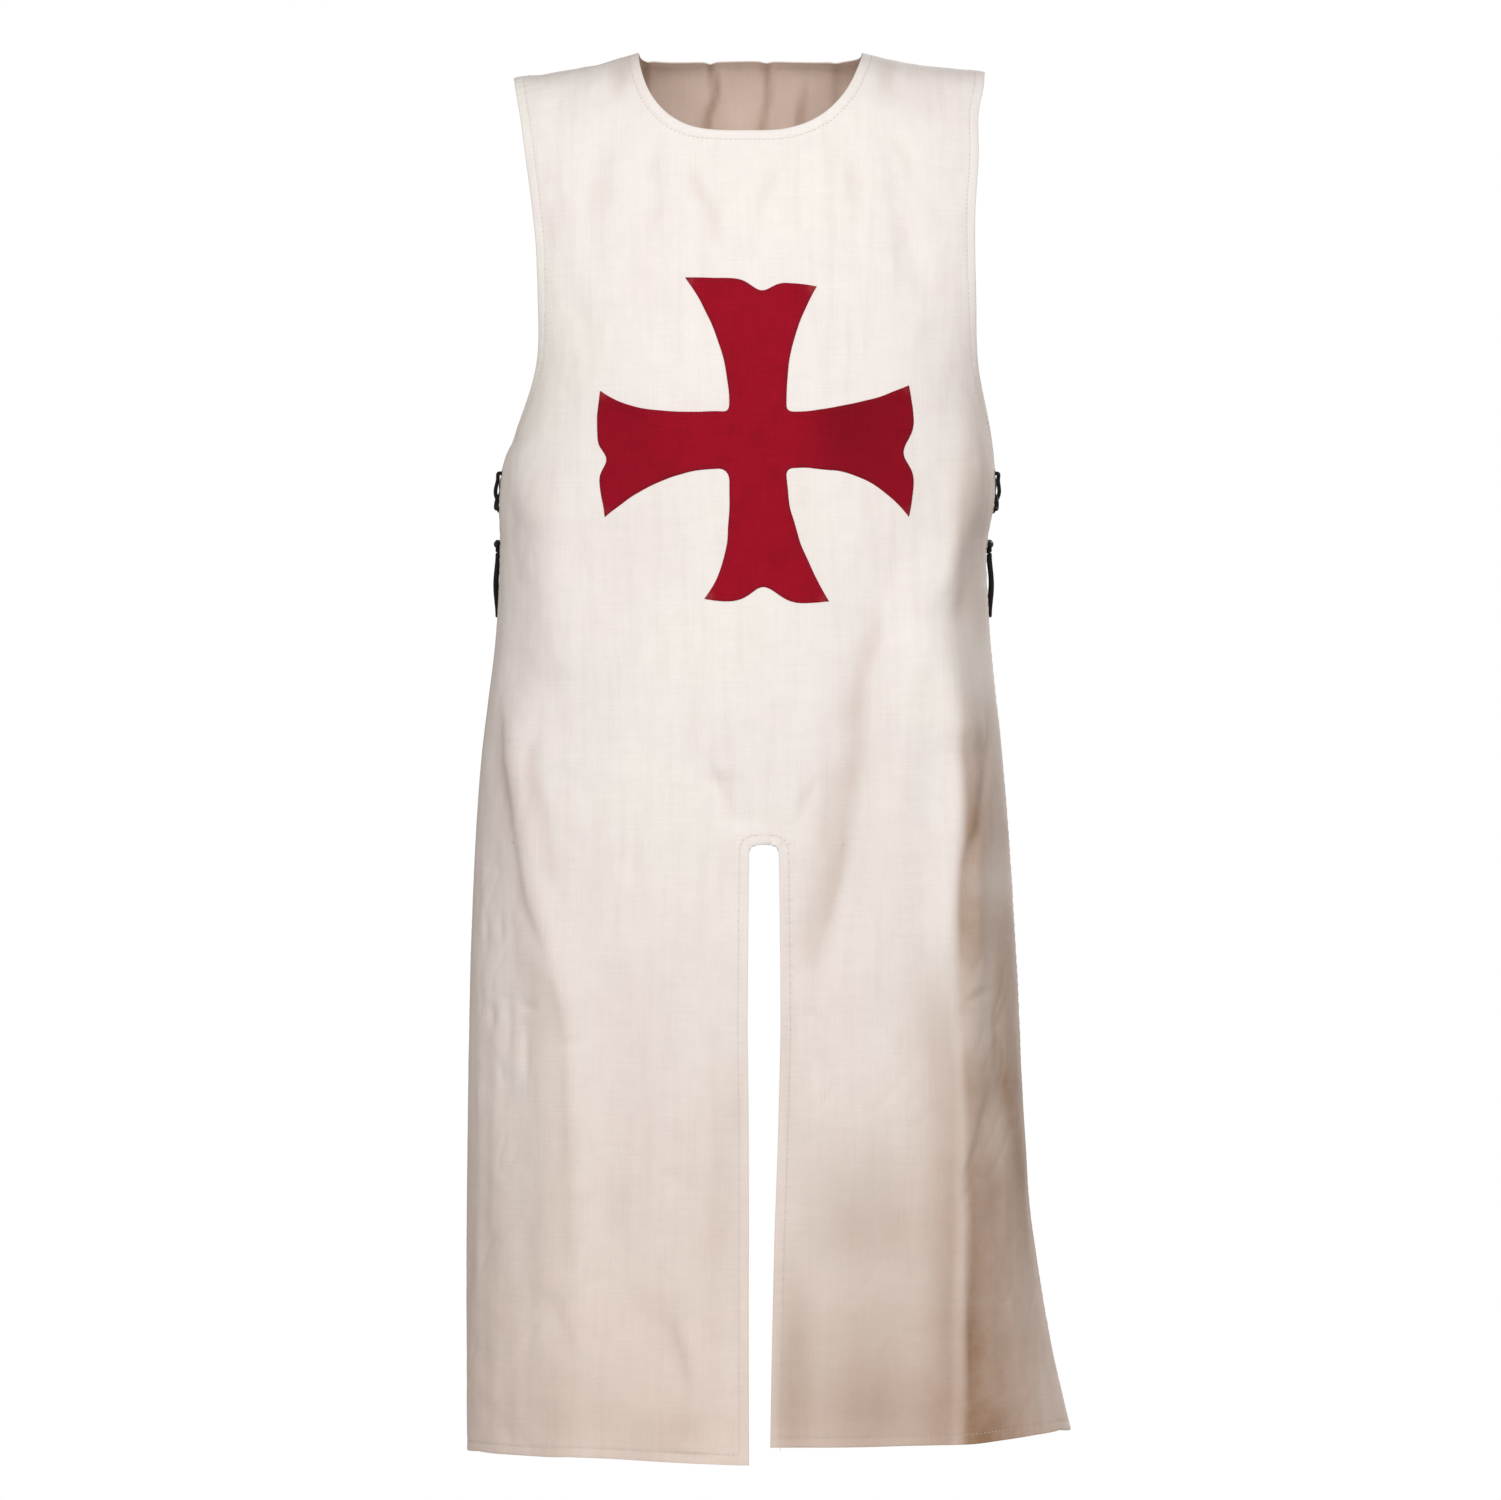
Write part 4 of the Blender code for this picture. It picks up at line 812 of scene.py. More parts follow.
    def rows(self):
        """(lengths down of the grid's rows, number of the row at the slit's top), both halves even in
        number of steps, so that the lining can take every second row.
        """
        slit_top = float(self.down_at(self.slit["drop"][0]))
        first, last = (float(self.down_at(drop)) for drop in LACING_DROPS)
        body = np.concatenate([
            even_steps(EDGE_PLACES[-1], first, ROW_STEP, odd=True)[1:],
            even_steps(first, last, LACING_STEP)[1:],
            even_steps(last, slit_top, ROW_STEP)[1:],
        ])
        arch = slit_top + SLIT_ARCH * ARCH_ROWS
        skirt = even_steps(arch[-1], self.length - EDGE_PLACES[-1], ROW_STEP)[1:-1]
        hem = self.length - EDGE_PLACES[::-1]
        return np.concatenate([EDGE_PLACES, body, arch, skirt, hem]), len(EDGE_PLACES) + len(body) - 1

    def half_grid(self, sign):
        """(across, down) of every grid point of one half, and the grid points at the eyelets. The columns
        start at even steps round the neckline and along the seam, and lower down stand close together
        beside the slit and the side edge.
        """
        x, neck_down = self.neckline(sign * np.linspace(0.0, 1.0, NECK_COLUMNS + 1))
        under_neck = np.abs(self.across_at(x, neck_down))
        shares = edged(SHOULDER_HALF_WIDTH - NECK_HALF_WIDTH, SEAM_COLUMNS, False, True)
        under_seam = under_neck[-1] + (1.0 - under_neck[-1]) * shares[1:]
        top = np.concatenate([under_neck, under_seam])
        top_down = np.concatenate([neck_down, np.zeros(SEAM_COLUMNS)])
        even = edged(HALF_SECTION, NECK_COLUMNS + SEAM_COLUMNS, True, True)
        stations, slit_row = self.rows()
        rows = stations[:, None]
        down = rows + top_down * (1.0 - eased(rows / FALL_FADES))
        skirt = (rows - stations[slit_row]) / (self.length - stations[slit_row])
        extra = self.hem_down(sign * np.maximum(even, HEM_STEP)) - self.length
        down = down + extra * eased((skirt - 1.0 + HEM_STARTS) / HEM_STARTS)
        across = top + (even - top) * eased(rows / COLUMNS_EVEN_OUT)
        inner = np.abs(self.inner_edge(sign, stations))[:, None]
        across = sign * (inner + across * (1.0 - inner))
        return self.open_eyelets(sign, across, down)

    def open_eyelets(self, sign, across, down):
        """Moves one grid point onto the middle of each eyelet, easing those round it along, and sets its
        eight neighbours on the eyelet's circle. Its row and column are odd, between those of the lining.
        """
        middles = []
        width = self.edge_speed(sign, down)
        for drop in EYELET_DROPS:
            at_down = float(self.down_at(drop))
            speed = float(self.edge_speed(sign, at_down))
            at_across = sign * (1.0 - EYELET_INSET / speed)
            away = np.hypot((across - at_across) * width, down - at_down)
            odd = away[1::2, 1::2]
            i, j = (2 * place + 1 for place in np.unravel_index(odd.argmin(), odd.shape))
            ease = np.exp(-((away / 0.010) ** 2))
            across = across + (at_across - across[i, j]) * ease
            down = down + (at_down - down[i, j]) * ease
            ring = np.s_[i - 1 : i + 2, j - 1 : j + 2]
            to_x, to_down = (across[ring] - at_across) * speed, down[ring] - at_down
            reach = np.maximum(np.hypot(to_x, to_down), 1e-9)
            across[ring] = at_across + to_x / reach * EYELET_RADIUS / speed
            down[ring] = at_down + to_down / reach * EYELET_RADIUS
            middles.append((i, j))
        return across, down, middles

    def edge_speed(self, sign, down):
        """Metres of cloth for each unit of across, at the side edge."""
        step = 1e-3
        across = np.full(np.shape(down), float(sign))
        way = self.bare(across, down) - self.bare(across * (1 - step), down)
        return np.linalg.norm(way, axis=-1) / step

    def wall(self, across, down):
        """Middle of the solid's wall and outward normal at a place."""
        across = np.array(float(across))
        here, normal = self.frame(across, down)
        return here + normal * (self.fold_height(across, down) - CLOTH / 2), normal

    def edge(self, sign, drop):
        """The same at the side edge."""
        return self.wall(sign, self.down_at(drop))

    def eyelet(self, sign, drop):
        """Middle of the solid's wall, outward normal and direction to the side edge, at an eyelet."""
        down = self.down_at(drop)
        step = 1e-3
        speed = np.linalg.norm(self.point(sign, down) - self.point(sign * (1 - step), down)) / step
        across = sign * (1.0 - EYELET_INSET / speed)
        middle, normal = self.wall(across, down)
        towards = unit(self.point(sign, down) - self.point(across, down))
        return middle, normal, unit(towards - normal * np.dot(towards, normal))


def even_steps(start, stop, step, odd=False):
    """Places from start to stop about a step apart, with an even number of steps, or an odd one."""
    count = 2 * round((stop - start) / (2 * step)) + int(odd)
    return np.linspace(start, stop, count + 1)


def edged(length, count, at_start, at_end):
    """count + 1 shares from 0 to 1 of a length, with the places of EDGE_PLACES at the chosen ends."""
    first = EDGE_PLACES / length if at_start else np.array([0.0])
    last = 1.0 - EDGE_PLACES[::-1] / length if at_end else np.array([1.0])
    between = np.linspace(first[-1], last[0], count + 3 - len(first) - len(last))[1:-1]
    return np.concatenate([first, between, last])


FRONT = Cloth("front", -1, FRONT_SECTIONS, FRONT_FOLDS, FRONT_CREASES, FRONT_SHADES, FRONT_HEM, FRONT_SLIT)
BACK = Cloth("back", 1, BACK_SECTIONS, BACK_FOLDS, BACK_CREASES, BACK_SHADES, BACK_HEM, BACK_SLIT)
CLOTHS = (FRONT, BACK)


# --- meshes -------------------------------------------------------------------------------------------


def build(name, points, faces, finish, uvs=None, values=None, sharp=50.0):
    """A mesh object at the origin from arrays of points and faces. uvs are maps with one (u, v) for each
    point, and values are attributes with one number for each point.
    """
    data = bpy.data.meshes.new(name)
    data.from_pydata(points.tolist(), [], [list(face) for face in faces])
    corners = np.empty(len(data.loops), dtype=np.int32)
    data.loops.foreach_get("vertex_index", corners)
    for label, uv in (uvs or {}).items():
        data.uv_layers.new(name=label).data.foreach_set("uv", uv[corners].astype(np.float32).ravel())
    for label, value in (values or {}).items():
        data.attributes.new(label, "FLOAT", "POINT").data.foreach_set("value", value.astype(np.float32))
    data.materials.append(finish)
    data.shade_smooth()
    data.set_sharp_from_angle(angle=math.radians(sharp))
    data.update()
    made = bpy.data.objects.new(name, data)
    bpy.context.scene.collection.objects.link(made)
    return made


def closed(outer, inner, quads, lining=None, halfway=None):
    """(points, faces, source, inside) of a closed shell between two layers of the same points: the outer
    quads, the inner ones turned over, and a wall along every rim. The inner layer may have quads of its
    own, lining, two steps wide; halfway then holds the points in the middle of their sides, which the wall
    takes in on the outer layer. source is the grid point that each point comes from, and inside is 1 on the
    inner layer.
    """
    total = len(outer)
    lining = quads if lining is None else lining
    edges = np.stack([lining, np.roll(lining, -1, axis=1)], axis=-1).reshape(-1, 2)
    rim = ~np.isin(edges @ (total, 1), edges @ (1, total))
    a, b = edges[rim].T
    wall = [b, a, a + total, b + total]
    if halfway is not None:
        wall.insert(1, halfway.reshape(-1)[rim])
    groups = [quads, lining[:, ::-1] + total, np.stack(wall, axis=1)]
    used = np.unique(np.concatenate([group.ravel() for group in groups]))
    faces = [face for group in groups for face in np.searchsorted(used, group).tolist()]
    return np.concatenate([outer, inner])[used], faces, used % total, used // total


def rings(rows, columns, looped=False):
    """(numbers, quads) of a grid of points whose rows are rings: the number of each point, and the squares
    between one ring and the next. A looped grid also has squares from the last ring to the first.
    """
    index = np.arange(rows * columns).reshape(rows, columns)
    a, b = (index, np.roll(index, -1, 0)) if looped else (index[:-1], index[1:])
    return index, np.stack([a, b, np.roll(b, -1, 1), np.roll(a, -1, 1)], axis=-1).reshape(-1, 4)


def tube(line, radius, sides, relief):
    """(points, faces, uvs) of a closed tube along a line of points. The ring's first direction is carried
    from ring to ring and kept square to the line. relief(around, along) scales the radius.
    """
    tangents = unit(np.gradient(line, axis=0))
    side = unit(np.cross(tangents[0], (0.31, 0.87, 0.39)))
    first = np.empty_like(tangents)
    for row, tangent in enumerate(tangents):
        side = unit(side - tangent * np.dot(side, tangent))
        first[row] = side
    second = np.cross(tangents, first)
    around = np.linspace(0.0, 2 * np.pi, sides, endpoint=False)
    along = lengths_along(line)
    radii = radius * relief(around, along[:, None])
    ends = np.minimum(along, along[-1] - along)[:, None]
    radii = radii * np.sqrt(1.0 - np.clip(1.0 - ends / (0.6 * radius), 0.0, 0.85) ** 2)
    ring = np.cos(around)[:, None] * first[:, None] + np.sin(around)[:, None] * second[:, None]
    points = (line[:, None] + radii[..., None] * ring).reshape(-1, 3)
    index, quads = rings(len(line), sides)
    faces = [*quads[:, (0, 3, 2, 1)], index[0][::-1], index[-1]]
    uvs = np.stack(np.broadcast_arrays(around * radius, along[:, None]), axis=-1).reshape(-1, 2)
    return points, faces, uvs


# --- materials ----------------------------------------------------------------------------------------


def linear(code):
    """A hex sRGB colour as linear red, green and blue."""
    parts = np.array([int(code[i : i + 2], 16) for i in (0, 2, 4)]) / 255.0
    return tuple(np.where(parts <= 0.04045, parts / 12.92, ((parts + 0.055) / 1.055) ** 2.4).tolist())


def add(tree, kind, inputs=None, out=0, **settings):
    """Adds a shader node and gives one of its outputs, by name or number. inputs gives the node's sockets,
    by name or number, a value or another node's output.
    """
    node = tree.nodes.new("ShaderNode" + kind)
    for name, value in settings.items():
        setattr(node, name, value)
    for socket, value in (inputs or {}).items():
        if isinstance(value, bpy.types.NodeSocket):
            tree.links.new(value, node.inputs[socket])
        else:
            node.inputs[socket].default_value = value
    return node.outputs[out] if node.outputs else None


def new_material(name):
    """A named material with an empty node tree."""
    made = bpy.data.materials.new(name)
    made.use_nodes = True
    made.node_tree.nodes.clear()
    return made, made.node_tree


THREAD_SPACING = 0.0016  # real canvas has a thread every 0.6 mm, drawn coarser so that the weave can show
WAVE_PERIOD = 2 * math.pi / 20.0  # length of one wave of the Wave Texture at scale 1


def woven(tree, where, spacing):
    """Height of a plain weave from 0 to 1, in metres of cloth: warp and weft threads as two sets of waves
    that swap over each other, made uneven by a little distortion.
    """
    scale = WAVE_PERIOD / spacing
    waves = {"Vector": where, "Scale": scale, "Distortion": 0.9, "Detail": 1.0, "Detail Scale": 0.6}
    warp, weft = (add(tree, "TexWave", waves, "Fac", wave_type="BANDS", bands_direction=direction)
                  for direction in "XY")
    return add(tree, "Math", {0: warp, 1: weft}, operation="MAXIMUM")


def streaks(tree, where, across, along, detail=2.0):
    """Noise drawn out along one thread direction: cells of that size, across and along the cloth."""
    stretched = add(tree, "Mapping", {"Vector": where, "Scale": (1 / across, 1 / along, 1.0)})
    noise = {"Vector": stretched, "Scale": 1.0, "Detail": detail, "Roughness": 0.55}
    return add(tree, "TexNoise", noise, "Fac", noise_dimensions="2D")


# A soft step is a Map Range node with a smooth rise. Its inputs in order are what it reads, the two ends of
# the range that counts, and what it gives at each of them.
SOFT = {"interpolation_type": "SMOOTHSTEP"}


def band(tree, value, low, high, fade):
    """1 where a value lies between low and high, falling smoothly to 0 within fade on both sides."""
    sides = ((value, low - fade, low, 0.0, 1.0), (value, high, high + fade, 1.0, 0.0))
    rise, fall = (add(tree, "MapRange", dict(enumerate(side)), **SOFT) for side in sides)
    return add(tree, "Math", {0: rise, 1: fall}, operation="MULTIPLY")


def canvas(name, settings):
    """Washed cotton canvas, plain woven from slubby yarn and worn: matt, warm white, with faint upright and
    level streaks where the yarn is thicker and fine crumples. It has painted shade: grey-pink in its
    creases, darker and warmer towards the hem, brown where its sides turn away, in the lee of its folds
    and on its inner side, and darker along the sewing of its hems, with a painted highlight on their swell.
    """
    made, tree = new_material(name)
    cloth = add(tree, "UVMap", uv_map="cloth")
    spot = add(tree, "TexCoord", out="Object")
    height = add(tree, "SeparateXYZ", {0: spot}, "Z")
    hem, hollow, stain, inside = (add(tree, "Attribute", out="Fac", attribute_name=label)
                                  for label in ("hem_distance", "hollow", "stain", "inside"))
    broad = streaks(tree, cloth, 0.012, 0.140, 3.0)
    patches = {"Vector": spot, "Scale": 7.0, "Detail": 3.0, "Roughness": 0.60}
    specks = {"Vector": spot, "Scale": 60.0, "Detail": 4.0, "Roughness": 0.65}
    patches, specks = (add(tree, "TexNoise", noise, "Fac") for noise in (patches, specks))
    soft = {
        "pink": (patches, 0.35, 0.65, 0.0, 1.0),
        "low": (height, -0.60, -1.28, 0.0, 1.0),
        "patchy": (patches, 0.30, 0.70, 0.75, 1.0),
        "speckled": (specks, 0.30, 0.66, 0.88, 1.0),
        "drawn": (broad, 0.40, 0.80, 0.0, 0.12),
        "deep": (hollow, -0.0002, -0.0034, 0.0, 0.40),
        "crumpled": (height, -0.45, -0.95, 0.25, 1.0),
    }
    soft = {label: add(tree, "MapRange", dict(enumerate(row)), **SOFT) for label, row in soft.items()}
    hem_shade = add(tree, "Math", {0: soft["low"], 1: soft["patchy"]}, operation="MULTIPLY")
    brown = add(tree, "Math", {0: stain, 1: soft["speckled"]}, operation="MULTIPLY")
    colour = (*settings.colour, 1.0)
    for share, tint in (
        (soft["pink"], settings.pink),  # washing leaves it a little pink in patches
        (hem_shade, settings.low_shade),  # painted shade, darker and warmer towards the hem
        (inside, settings.inside),  # painted shade: the inner side, out of the light
        (soft["drawn"], settings.crease),  # thicker yarn shows as long grey streaks
        (soft["deep"], settings.crease),  # painted shade in the creases
        (brown, settings.side_and_fold_shade),  # painted shade where sides turn away and in folds' lee
    ):
        colour = add(tree, "Mix", {0: share, 6: colour, 7: (*tint, 1.0)}, 2, data_type="RGBA")
    slubs = [streaks(tree, cloth, *size) for size in ((0.0016, 0.050), (0.050, 0.0016))]
    threads = add(tree, "Math", dict(enumerate(slubs)), operation="ADD")
    tone = 1.0
    for row in (
        (threads, 0.70, 1.30, 0.982, 1.015),  # slubs in the yarn
        (specks, 0.30, 0.70, 0.985, 1.012),  # uneven bleaching
        (hem, 0.0, 0.0012, 0.92, 1.0),  # darker at the very edge
        (band(tree, hem, 0.0015, 0.0065, 0.0012), 0.0, 1.0, 1.0, 1.012),  # painted highlight on the hem's swell
        (band(tree, hem, 0.0083, 0.0089, 0.0014), 0.0, 1.0, 1.0, 0.955),  # painted shade in the sunk sewing line
    ):
        shade = add(tree, "MapRange", dict(enumerate(row)), **SOFT)
        tone = add(tree, "Math", {0: tone, 1: shade}, operation="MULTIPLY")
    grey = add(tree, "CombineColor", {0: tone, 1: tone, 2: tone})
    colour = add(tree, "Mix", {0: 1.0, 6: colour, 7: grey}, 2, data_type="RGBA", blend_type="MULTIPLY")
    crumples = {"Vector": spot, "Scale": 26.0, "Detail": 3.0, "Roughness": 0.5, "Distortion": 0.4}
    crumples = add(tree, "TexNoise", crumples, "Fac", noise_type="RIDGED_MULTIFRACTAL")
    crumpled = add(tree, "Math", {0: crumples, 1: soft["crumpled"]}, operation="MULTIPLY")
    folded = add(tree, "Bump", {"Height": crumpled, "Strength": 0.25, "Distance": 0.0010})
    weave = woven(tree, cloth, THREAD_SPACING)
    relief = add(tree, "Math", {0: threads, 1: 1.6, 2: weave}, operation="MULTIPLY_ADD")
    bump = add(tree, "Bump", {"Height": relief, "Strength": 0.24, "Distance": 0.00030, "Normal": folded})
    shader = add(tree, "BsdfPrincipled", {
        "Base Color": colour, "Normal": bump, "Roughness": 0.88, "Specular IOR Level": 0.25,
        "Sheen Weight": 0.12, "Sheen Roughness": 0.55,
    })
    add(tree, "OutputMaterial", {"Surface": shader})
    return made


def red_cotton(name, settings):
    """Dyed cotton twill for the cross: matt crimson with darker mottling, rubbed pale at the tips of the
    arms, with painted shade along its turned edge and where its arms turn away.
    """
    made, tree = new_material(name)
    cloth = add(tree, "UVMap", uv_map="cloth")
    rubbed, rim, shade = (add(tree, "Attribute", out="Fac", attribute_name=label)
                          for label in ("rubbed", "rim_distance", "shade"))
    mottle = add(tree, "TexNoise", {"Vector": cloth, "Scale": 38.0, "Detail": 4.0, "Roughness": 0.6}, "Fac")
    slubs = [streaks(tree, cloth, *size) for size in ((0.0014, 0.030), (0.030, 0.0014))]
    threads = add(tree, "Math", dict(enumerate(slubs)), operation="ADD")
    patchy, darker, painted_rim_shade, tone = (add(tree, "MapRange", dict(enumerate(row)), **SOFT) for row in (
        (mottle, 0.30, 0.62, 0.35, 1.0),
        (mottle, 0.46, 0.74, 0.0, 0.32),
        (rim, 0.0, 0.0014, 0.80, 0.0),
        (threads, 0.72, 1.28, 0.95, 1.05),
    ))
    worn = add(tree, "Math", {0: rubbed, 1: patchy}, operation="MULTIPLY")
    colour = (*settings.colour, 1.0)
    for share, tint in (
        (darker, settings.dark),  # the dye took unevenly
        (worn, settings.faded),  # the tips are rubbed pale
        (shade, settings.dark),  # the arms turn away into shade
        (painted_rim_shade, settings.dark),  # painted shade along the turned edge
    ):
        colour = add(tree, "Mix", {0: share, 6: colour, 7: (*tint, 1.0)}, 2, data_type="RGBA")
    grey = add(tree, "CombineColor", {0: tone, 1: tone, 2: tone})
    colour = add(tree, "Mix", {0: 1.0, 6: colour, 7: grey}, 2, data_type="RGBA", blend_type="MULTIPLY")
    weave = woven(tree, cloth, THREAD_SPACING * 0.85)
    relief = add(tree, "Math", {0: threads, 1: 1.4, 2: weave}, operation="MULTIPLY_ADD")
    bump = add(tree, "Bump", {"Height": relief, "Strength": 0.22, "Distance": 0.0003})
    shader = add(tree, "BsdfPrincipled", {
        "Base Color": colour, "Normal": bump, "Roughness": 0.90, "Specular IOR Level": 0.08,
        "Sheen Weight": 0.02, "Sheen Roughness": 0.5,
    })
    add(tree, "OutputMaterial", {"Surface": shader})
    return made


def twisted_thread(name, colour):
    """Twisted cotton sewing thread: matt, with a fine slanting twist and painted shade in its grooves."""
    made, tree = new_material(name)
    spot = add(tree, "UVMap", uv_map="cloth")
    twist_waves = {"Vector": spot, "Scale": WAVE_PERIOD / 0.0006}
    ply = add(tree, "TexWave", twist_waves, "Fac", bands_direction="DIAGONAL")
    # painted shade in the twist's grooves
    groove = tuple(0.6 * part for part in colour)
    colour = add(tree, "Mix", {0: ply, 6: (*groove, 1.0), 7: (*colour, 1.0)}, 2, data_type="RGBA")
    bump = add(tree, "Bump", {"Height": ply, "Strength": 0.3, "Distance": 0.0001})
    shader = add(tree, "BsdfPrincipled", {"Base Color": colour, "Normal": bump, "Roughness": 0.8})
    add(tree, "OutputMaterial", {"Surface": shader})
    return made


def black_cord(name, settings):
    """Black braided cotton cord: nearly matt, soft highlights on each strand and a grey bloom from wear."""
    made, tree = new_material(name)
    where = add(tree, "UVMap", uv_map="cord")
    strands = add(tree, "Attribute", out="Fac", attribute_name="strand")
    bloom = add(tree, "TexNoise", {"Vector": where, "Scale": 420.0, "Detail": 3.0}, "Fac")
    fuzz = add(tree, "MapRange", dict(enumerate((bloom, 0.45, 0.8, 0.0, 0.5))), **SOFT)
    share = add(tree, "Math", {0: fuzz, 1: strands}, operation="MULTIPLY")
    colour, grey = (*settings.colour, 1.0), (*settings.bloom, 1.0)
    colour = add(tree, "Mix", {0: share, 6: colour, 7: grey}, 2, data_type="RGBA")
    bump = add(tree, "Bump", {"Height": bloom, "Strength": 0.25, "Distance": 0.0002})
    shader = add(tree, "BsdfPrincipled", {
        "Base Color": colour, "Normal": bump, "Roughness": 0.72, "Specular IOR Level": 0.25,
        "Sheen Weight": 0.06,
    })
    add(tree, "OutputMaterial", {"Surface": shader})
    return made


def once(name, make, given):
    """The material of that name, made if the scene doesn't have it yet."""
    return bpy.data.materials.get(name) or make(name, given)


# --- panels -------------------------------------------------------------------------------------------


def surface(corners):
    """The area of four-sided faces from their corners: half the cross product of the diagonals of each."""
    products = np.cross(corners[:, 2] - corners[:, 0], corners[:, 3] - corners[:, 1])
    return float(np.linalg.norm(products, axis=1).sum() / 2)


def squares(index, step):
    """The corners of a grid's squares that are so many steps wide."""
    near, far = slice(None, -1, step), slice(step, None, step)
    corners = [index[near, near], index[near, far], index[far, far], index[far, near]]
    return np.stack(corners, axis=-1).reshape(-1, 4)


def panel_grid(cloth):
    """The grid of a panel: two half grids joined down the centre above the slit, without the squares round
    the middle of each eyelet. Gives across and down of its points, the outer quads, the lining's quads two
    steps wide, the points halfway along their sides, and the shape of a half grid. Quads run so that they
    face out.
    """
    slit_row = cloth.rows()[1]
    halves = [cloth.half_grid(sign) for sign in (-1, 1)]
    shape = halves[0][0].shape
    right = np.arange(shape[0] * shape[1]).reshape(shape)
    left = right + right.size
    middles = [index[i, j] for index, half in zip((right, left), halves) for i, j in half[2]]
    left[: slit_row + 1, 0] = right[: slit_row + 1, 0]
    even, odd = slice(None, -1, 2), slice(1, None, 2)
    quads, lining, halfway = [], [], []
    for sign, index in ((-1, right), (1, left)):
        outward = sign * cloth.facing > 0
        corners, wide = squares(index, 1), squares(index, 2)
        sides = [index[even, odd], index[odd, 2::2], index[2::2, odd], index[odd, even]]
        sides = np.stack(sides, axis=-1).reshape(-1, 4)
        whole = ~np.isin(index[odd, odd].ravel(), middles)
        quads.append(corners if outward else corners[:, ::-1])
        lining.append((wide if outward else wide[:, ::-1])[whole])
        halfway.append((sides if outward else sides[:, (2, 1, 0, 3)])[whole])
    quads, lining, halfway = np.concatenate(quads), np.concatenate(lining), np.concatenate(halfway)
    across, down = (np.concatenate([half[i].ravel() for half in halves]) for i in (0, 1))
    return across, down, quads[~np.isin(quads, middles).any(axis=1)], lining, halfway, shape


def lowest_around(heights, shape):
    """The lowest of each grid point's height and its eight neighbours', so that the lining's wider squares
    stay under the outer face.
    """
    grids = np.pad(heights.reshape(2, *shape), ((0, 0), (1, 1), (1, 1)), mode="edge")
    lowest = np.lib.stride_tricks.sliding_window_view(grids, (3, 3), axis=(1, 2)).min(axis=(3, 4))
    lowest[:, :, 0] = lowest[:, :, 0].min(axis=0)
    return lowest.ravel()


def make_panel(cloth, settings):
    """One panel as a closed shell. It is one layer thick in the field and as thick as the solid's wall in
    the hem, where the edge is turned in twice.
    """
    across, down, quads, lining, halfway, shape = panel_grid(cloth)
    face = cloth.face(across, down)
    outer, hem = face["points"], face["hem"]
    in_hem = 1.0 - eased((hem - cloth.hem_width) / HEM_EASES)
    spare = face["height"] - lowest_around(face["height"], shape)
    rounding = rounded(hem, EDGE_ROUNDING, ROUNDING_WIDTH)
    thick = (settings.thickness + spare) * (1.0 - in_hem) + CLOTH * in_hem - rounding
    inner = outer - face["normals"] * thick[:, None]
    for layer in (outer, inner):
        layer[:, 1] = cloth.facing * np.maximum(layer[:, 1] * cloth.facing, 0.0)
    points, faces, source, inside = closed(outer, inner, quads, lining, halfway)
    uv = cloth.flat(across, down)
    # painted shade in the inner side's creases, added to the brown shade; the crease tint is doubled inside
    rubbed = inside * INNER_SHADE * np.clip(face["hollow"][source] / INNER_DEPTH, 0.0, 1.0)
    values = {
        "hem_distance": hem[source], "hollow": face["hollow"][source] * (1 + inside),
        "stain": np.minimum(face["stain"][source] + rubbed, 1.0), "inside": inside,
    }
    finish = once("washed_cotton_canvas", canvas, settings)
    made = build(cloth.name + "_cloth", points, faces, finish, {"cloth": uv[source]}, values)
    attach(made, "root")
    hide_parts(cloth.name + "_panel")
    return made, np.ptp(uv[:, 0]), float(down.max()), surface(outer[quads])


# --- sewing -------------------------------------------------------------------------------------------


def stitch_row(place, count_points, pitch, thread):
    """(points, faces, uvs) of a row of stitches about a pitch apart. place(t) gives the points and normals
    of the sewing line at shares t of the row.
    """
    shares = np.linspace(0.0, 1.0, count_points)
    lengths = lengths_along(place(shares)[0])
    count = max(2, int(lengths[-1] / pitch))
    begin = (np.arange(count) + 0.5 - STITCH_SHARE / 2) / count * lengths[-1]
    finish = begin + STITCH_SHARE * lengths[-1] / count
    starts, normals = place(np.interp(begin, lengths, shares))
    stops, _ = place(np.interp(finish, lengths, shares))
    return spindles(starts, stops, normals, thread)


SPINDLE_RINGS, SPINDLE_SIDES = 4, 5
STITCH_SHARE = 0.66  # of the pitch that a stitch shows
STITCH_LIFT = 0.3  # how far its middle rises, in thicknesses of the thread
CROSS_THREAD = 0.0006
SEWING_STARTS = 0.002  # below the shoulder seam
SLIT_SEWING_STOPS = 0.004  # before the two hems meet


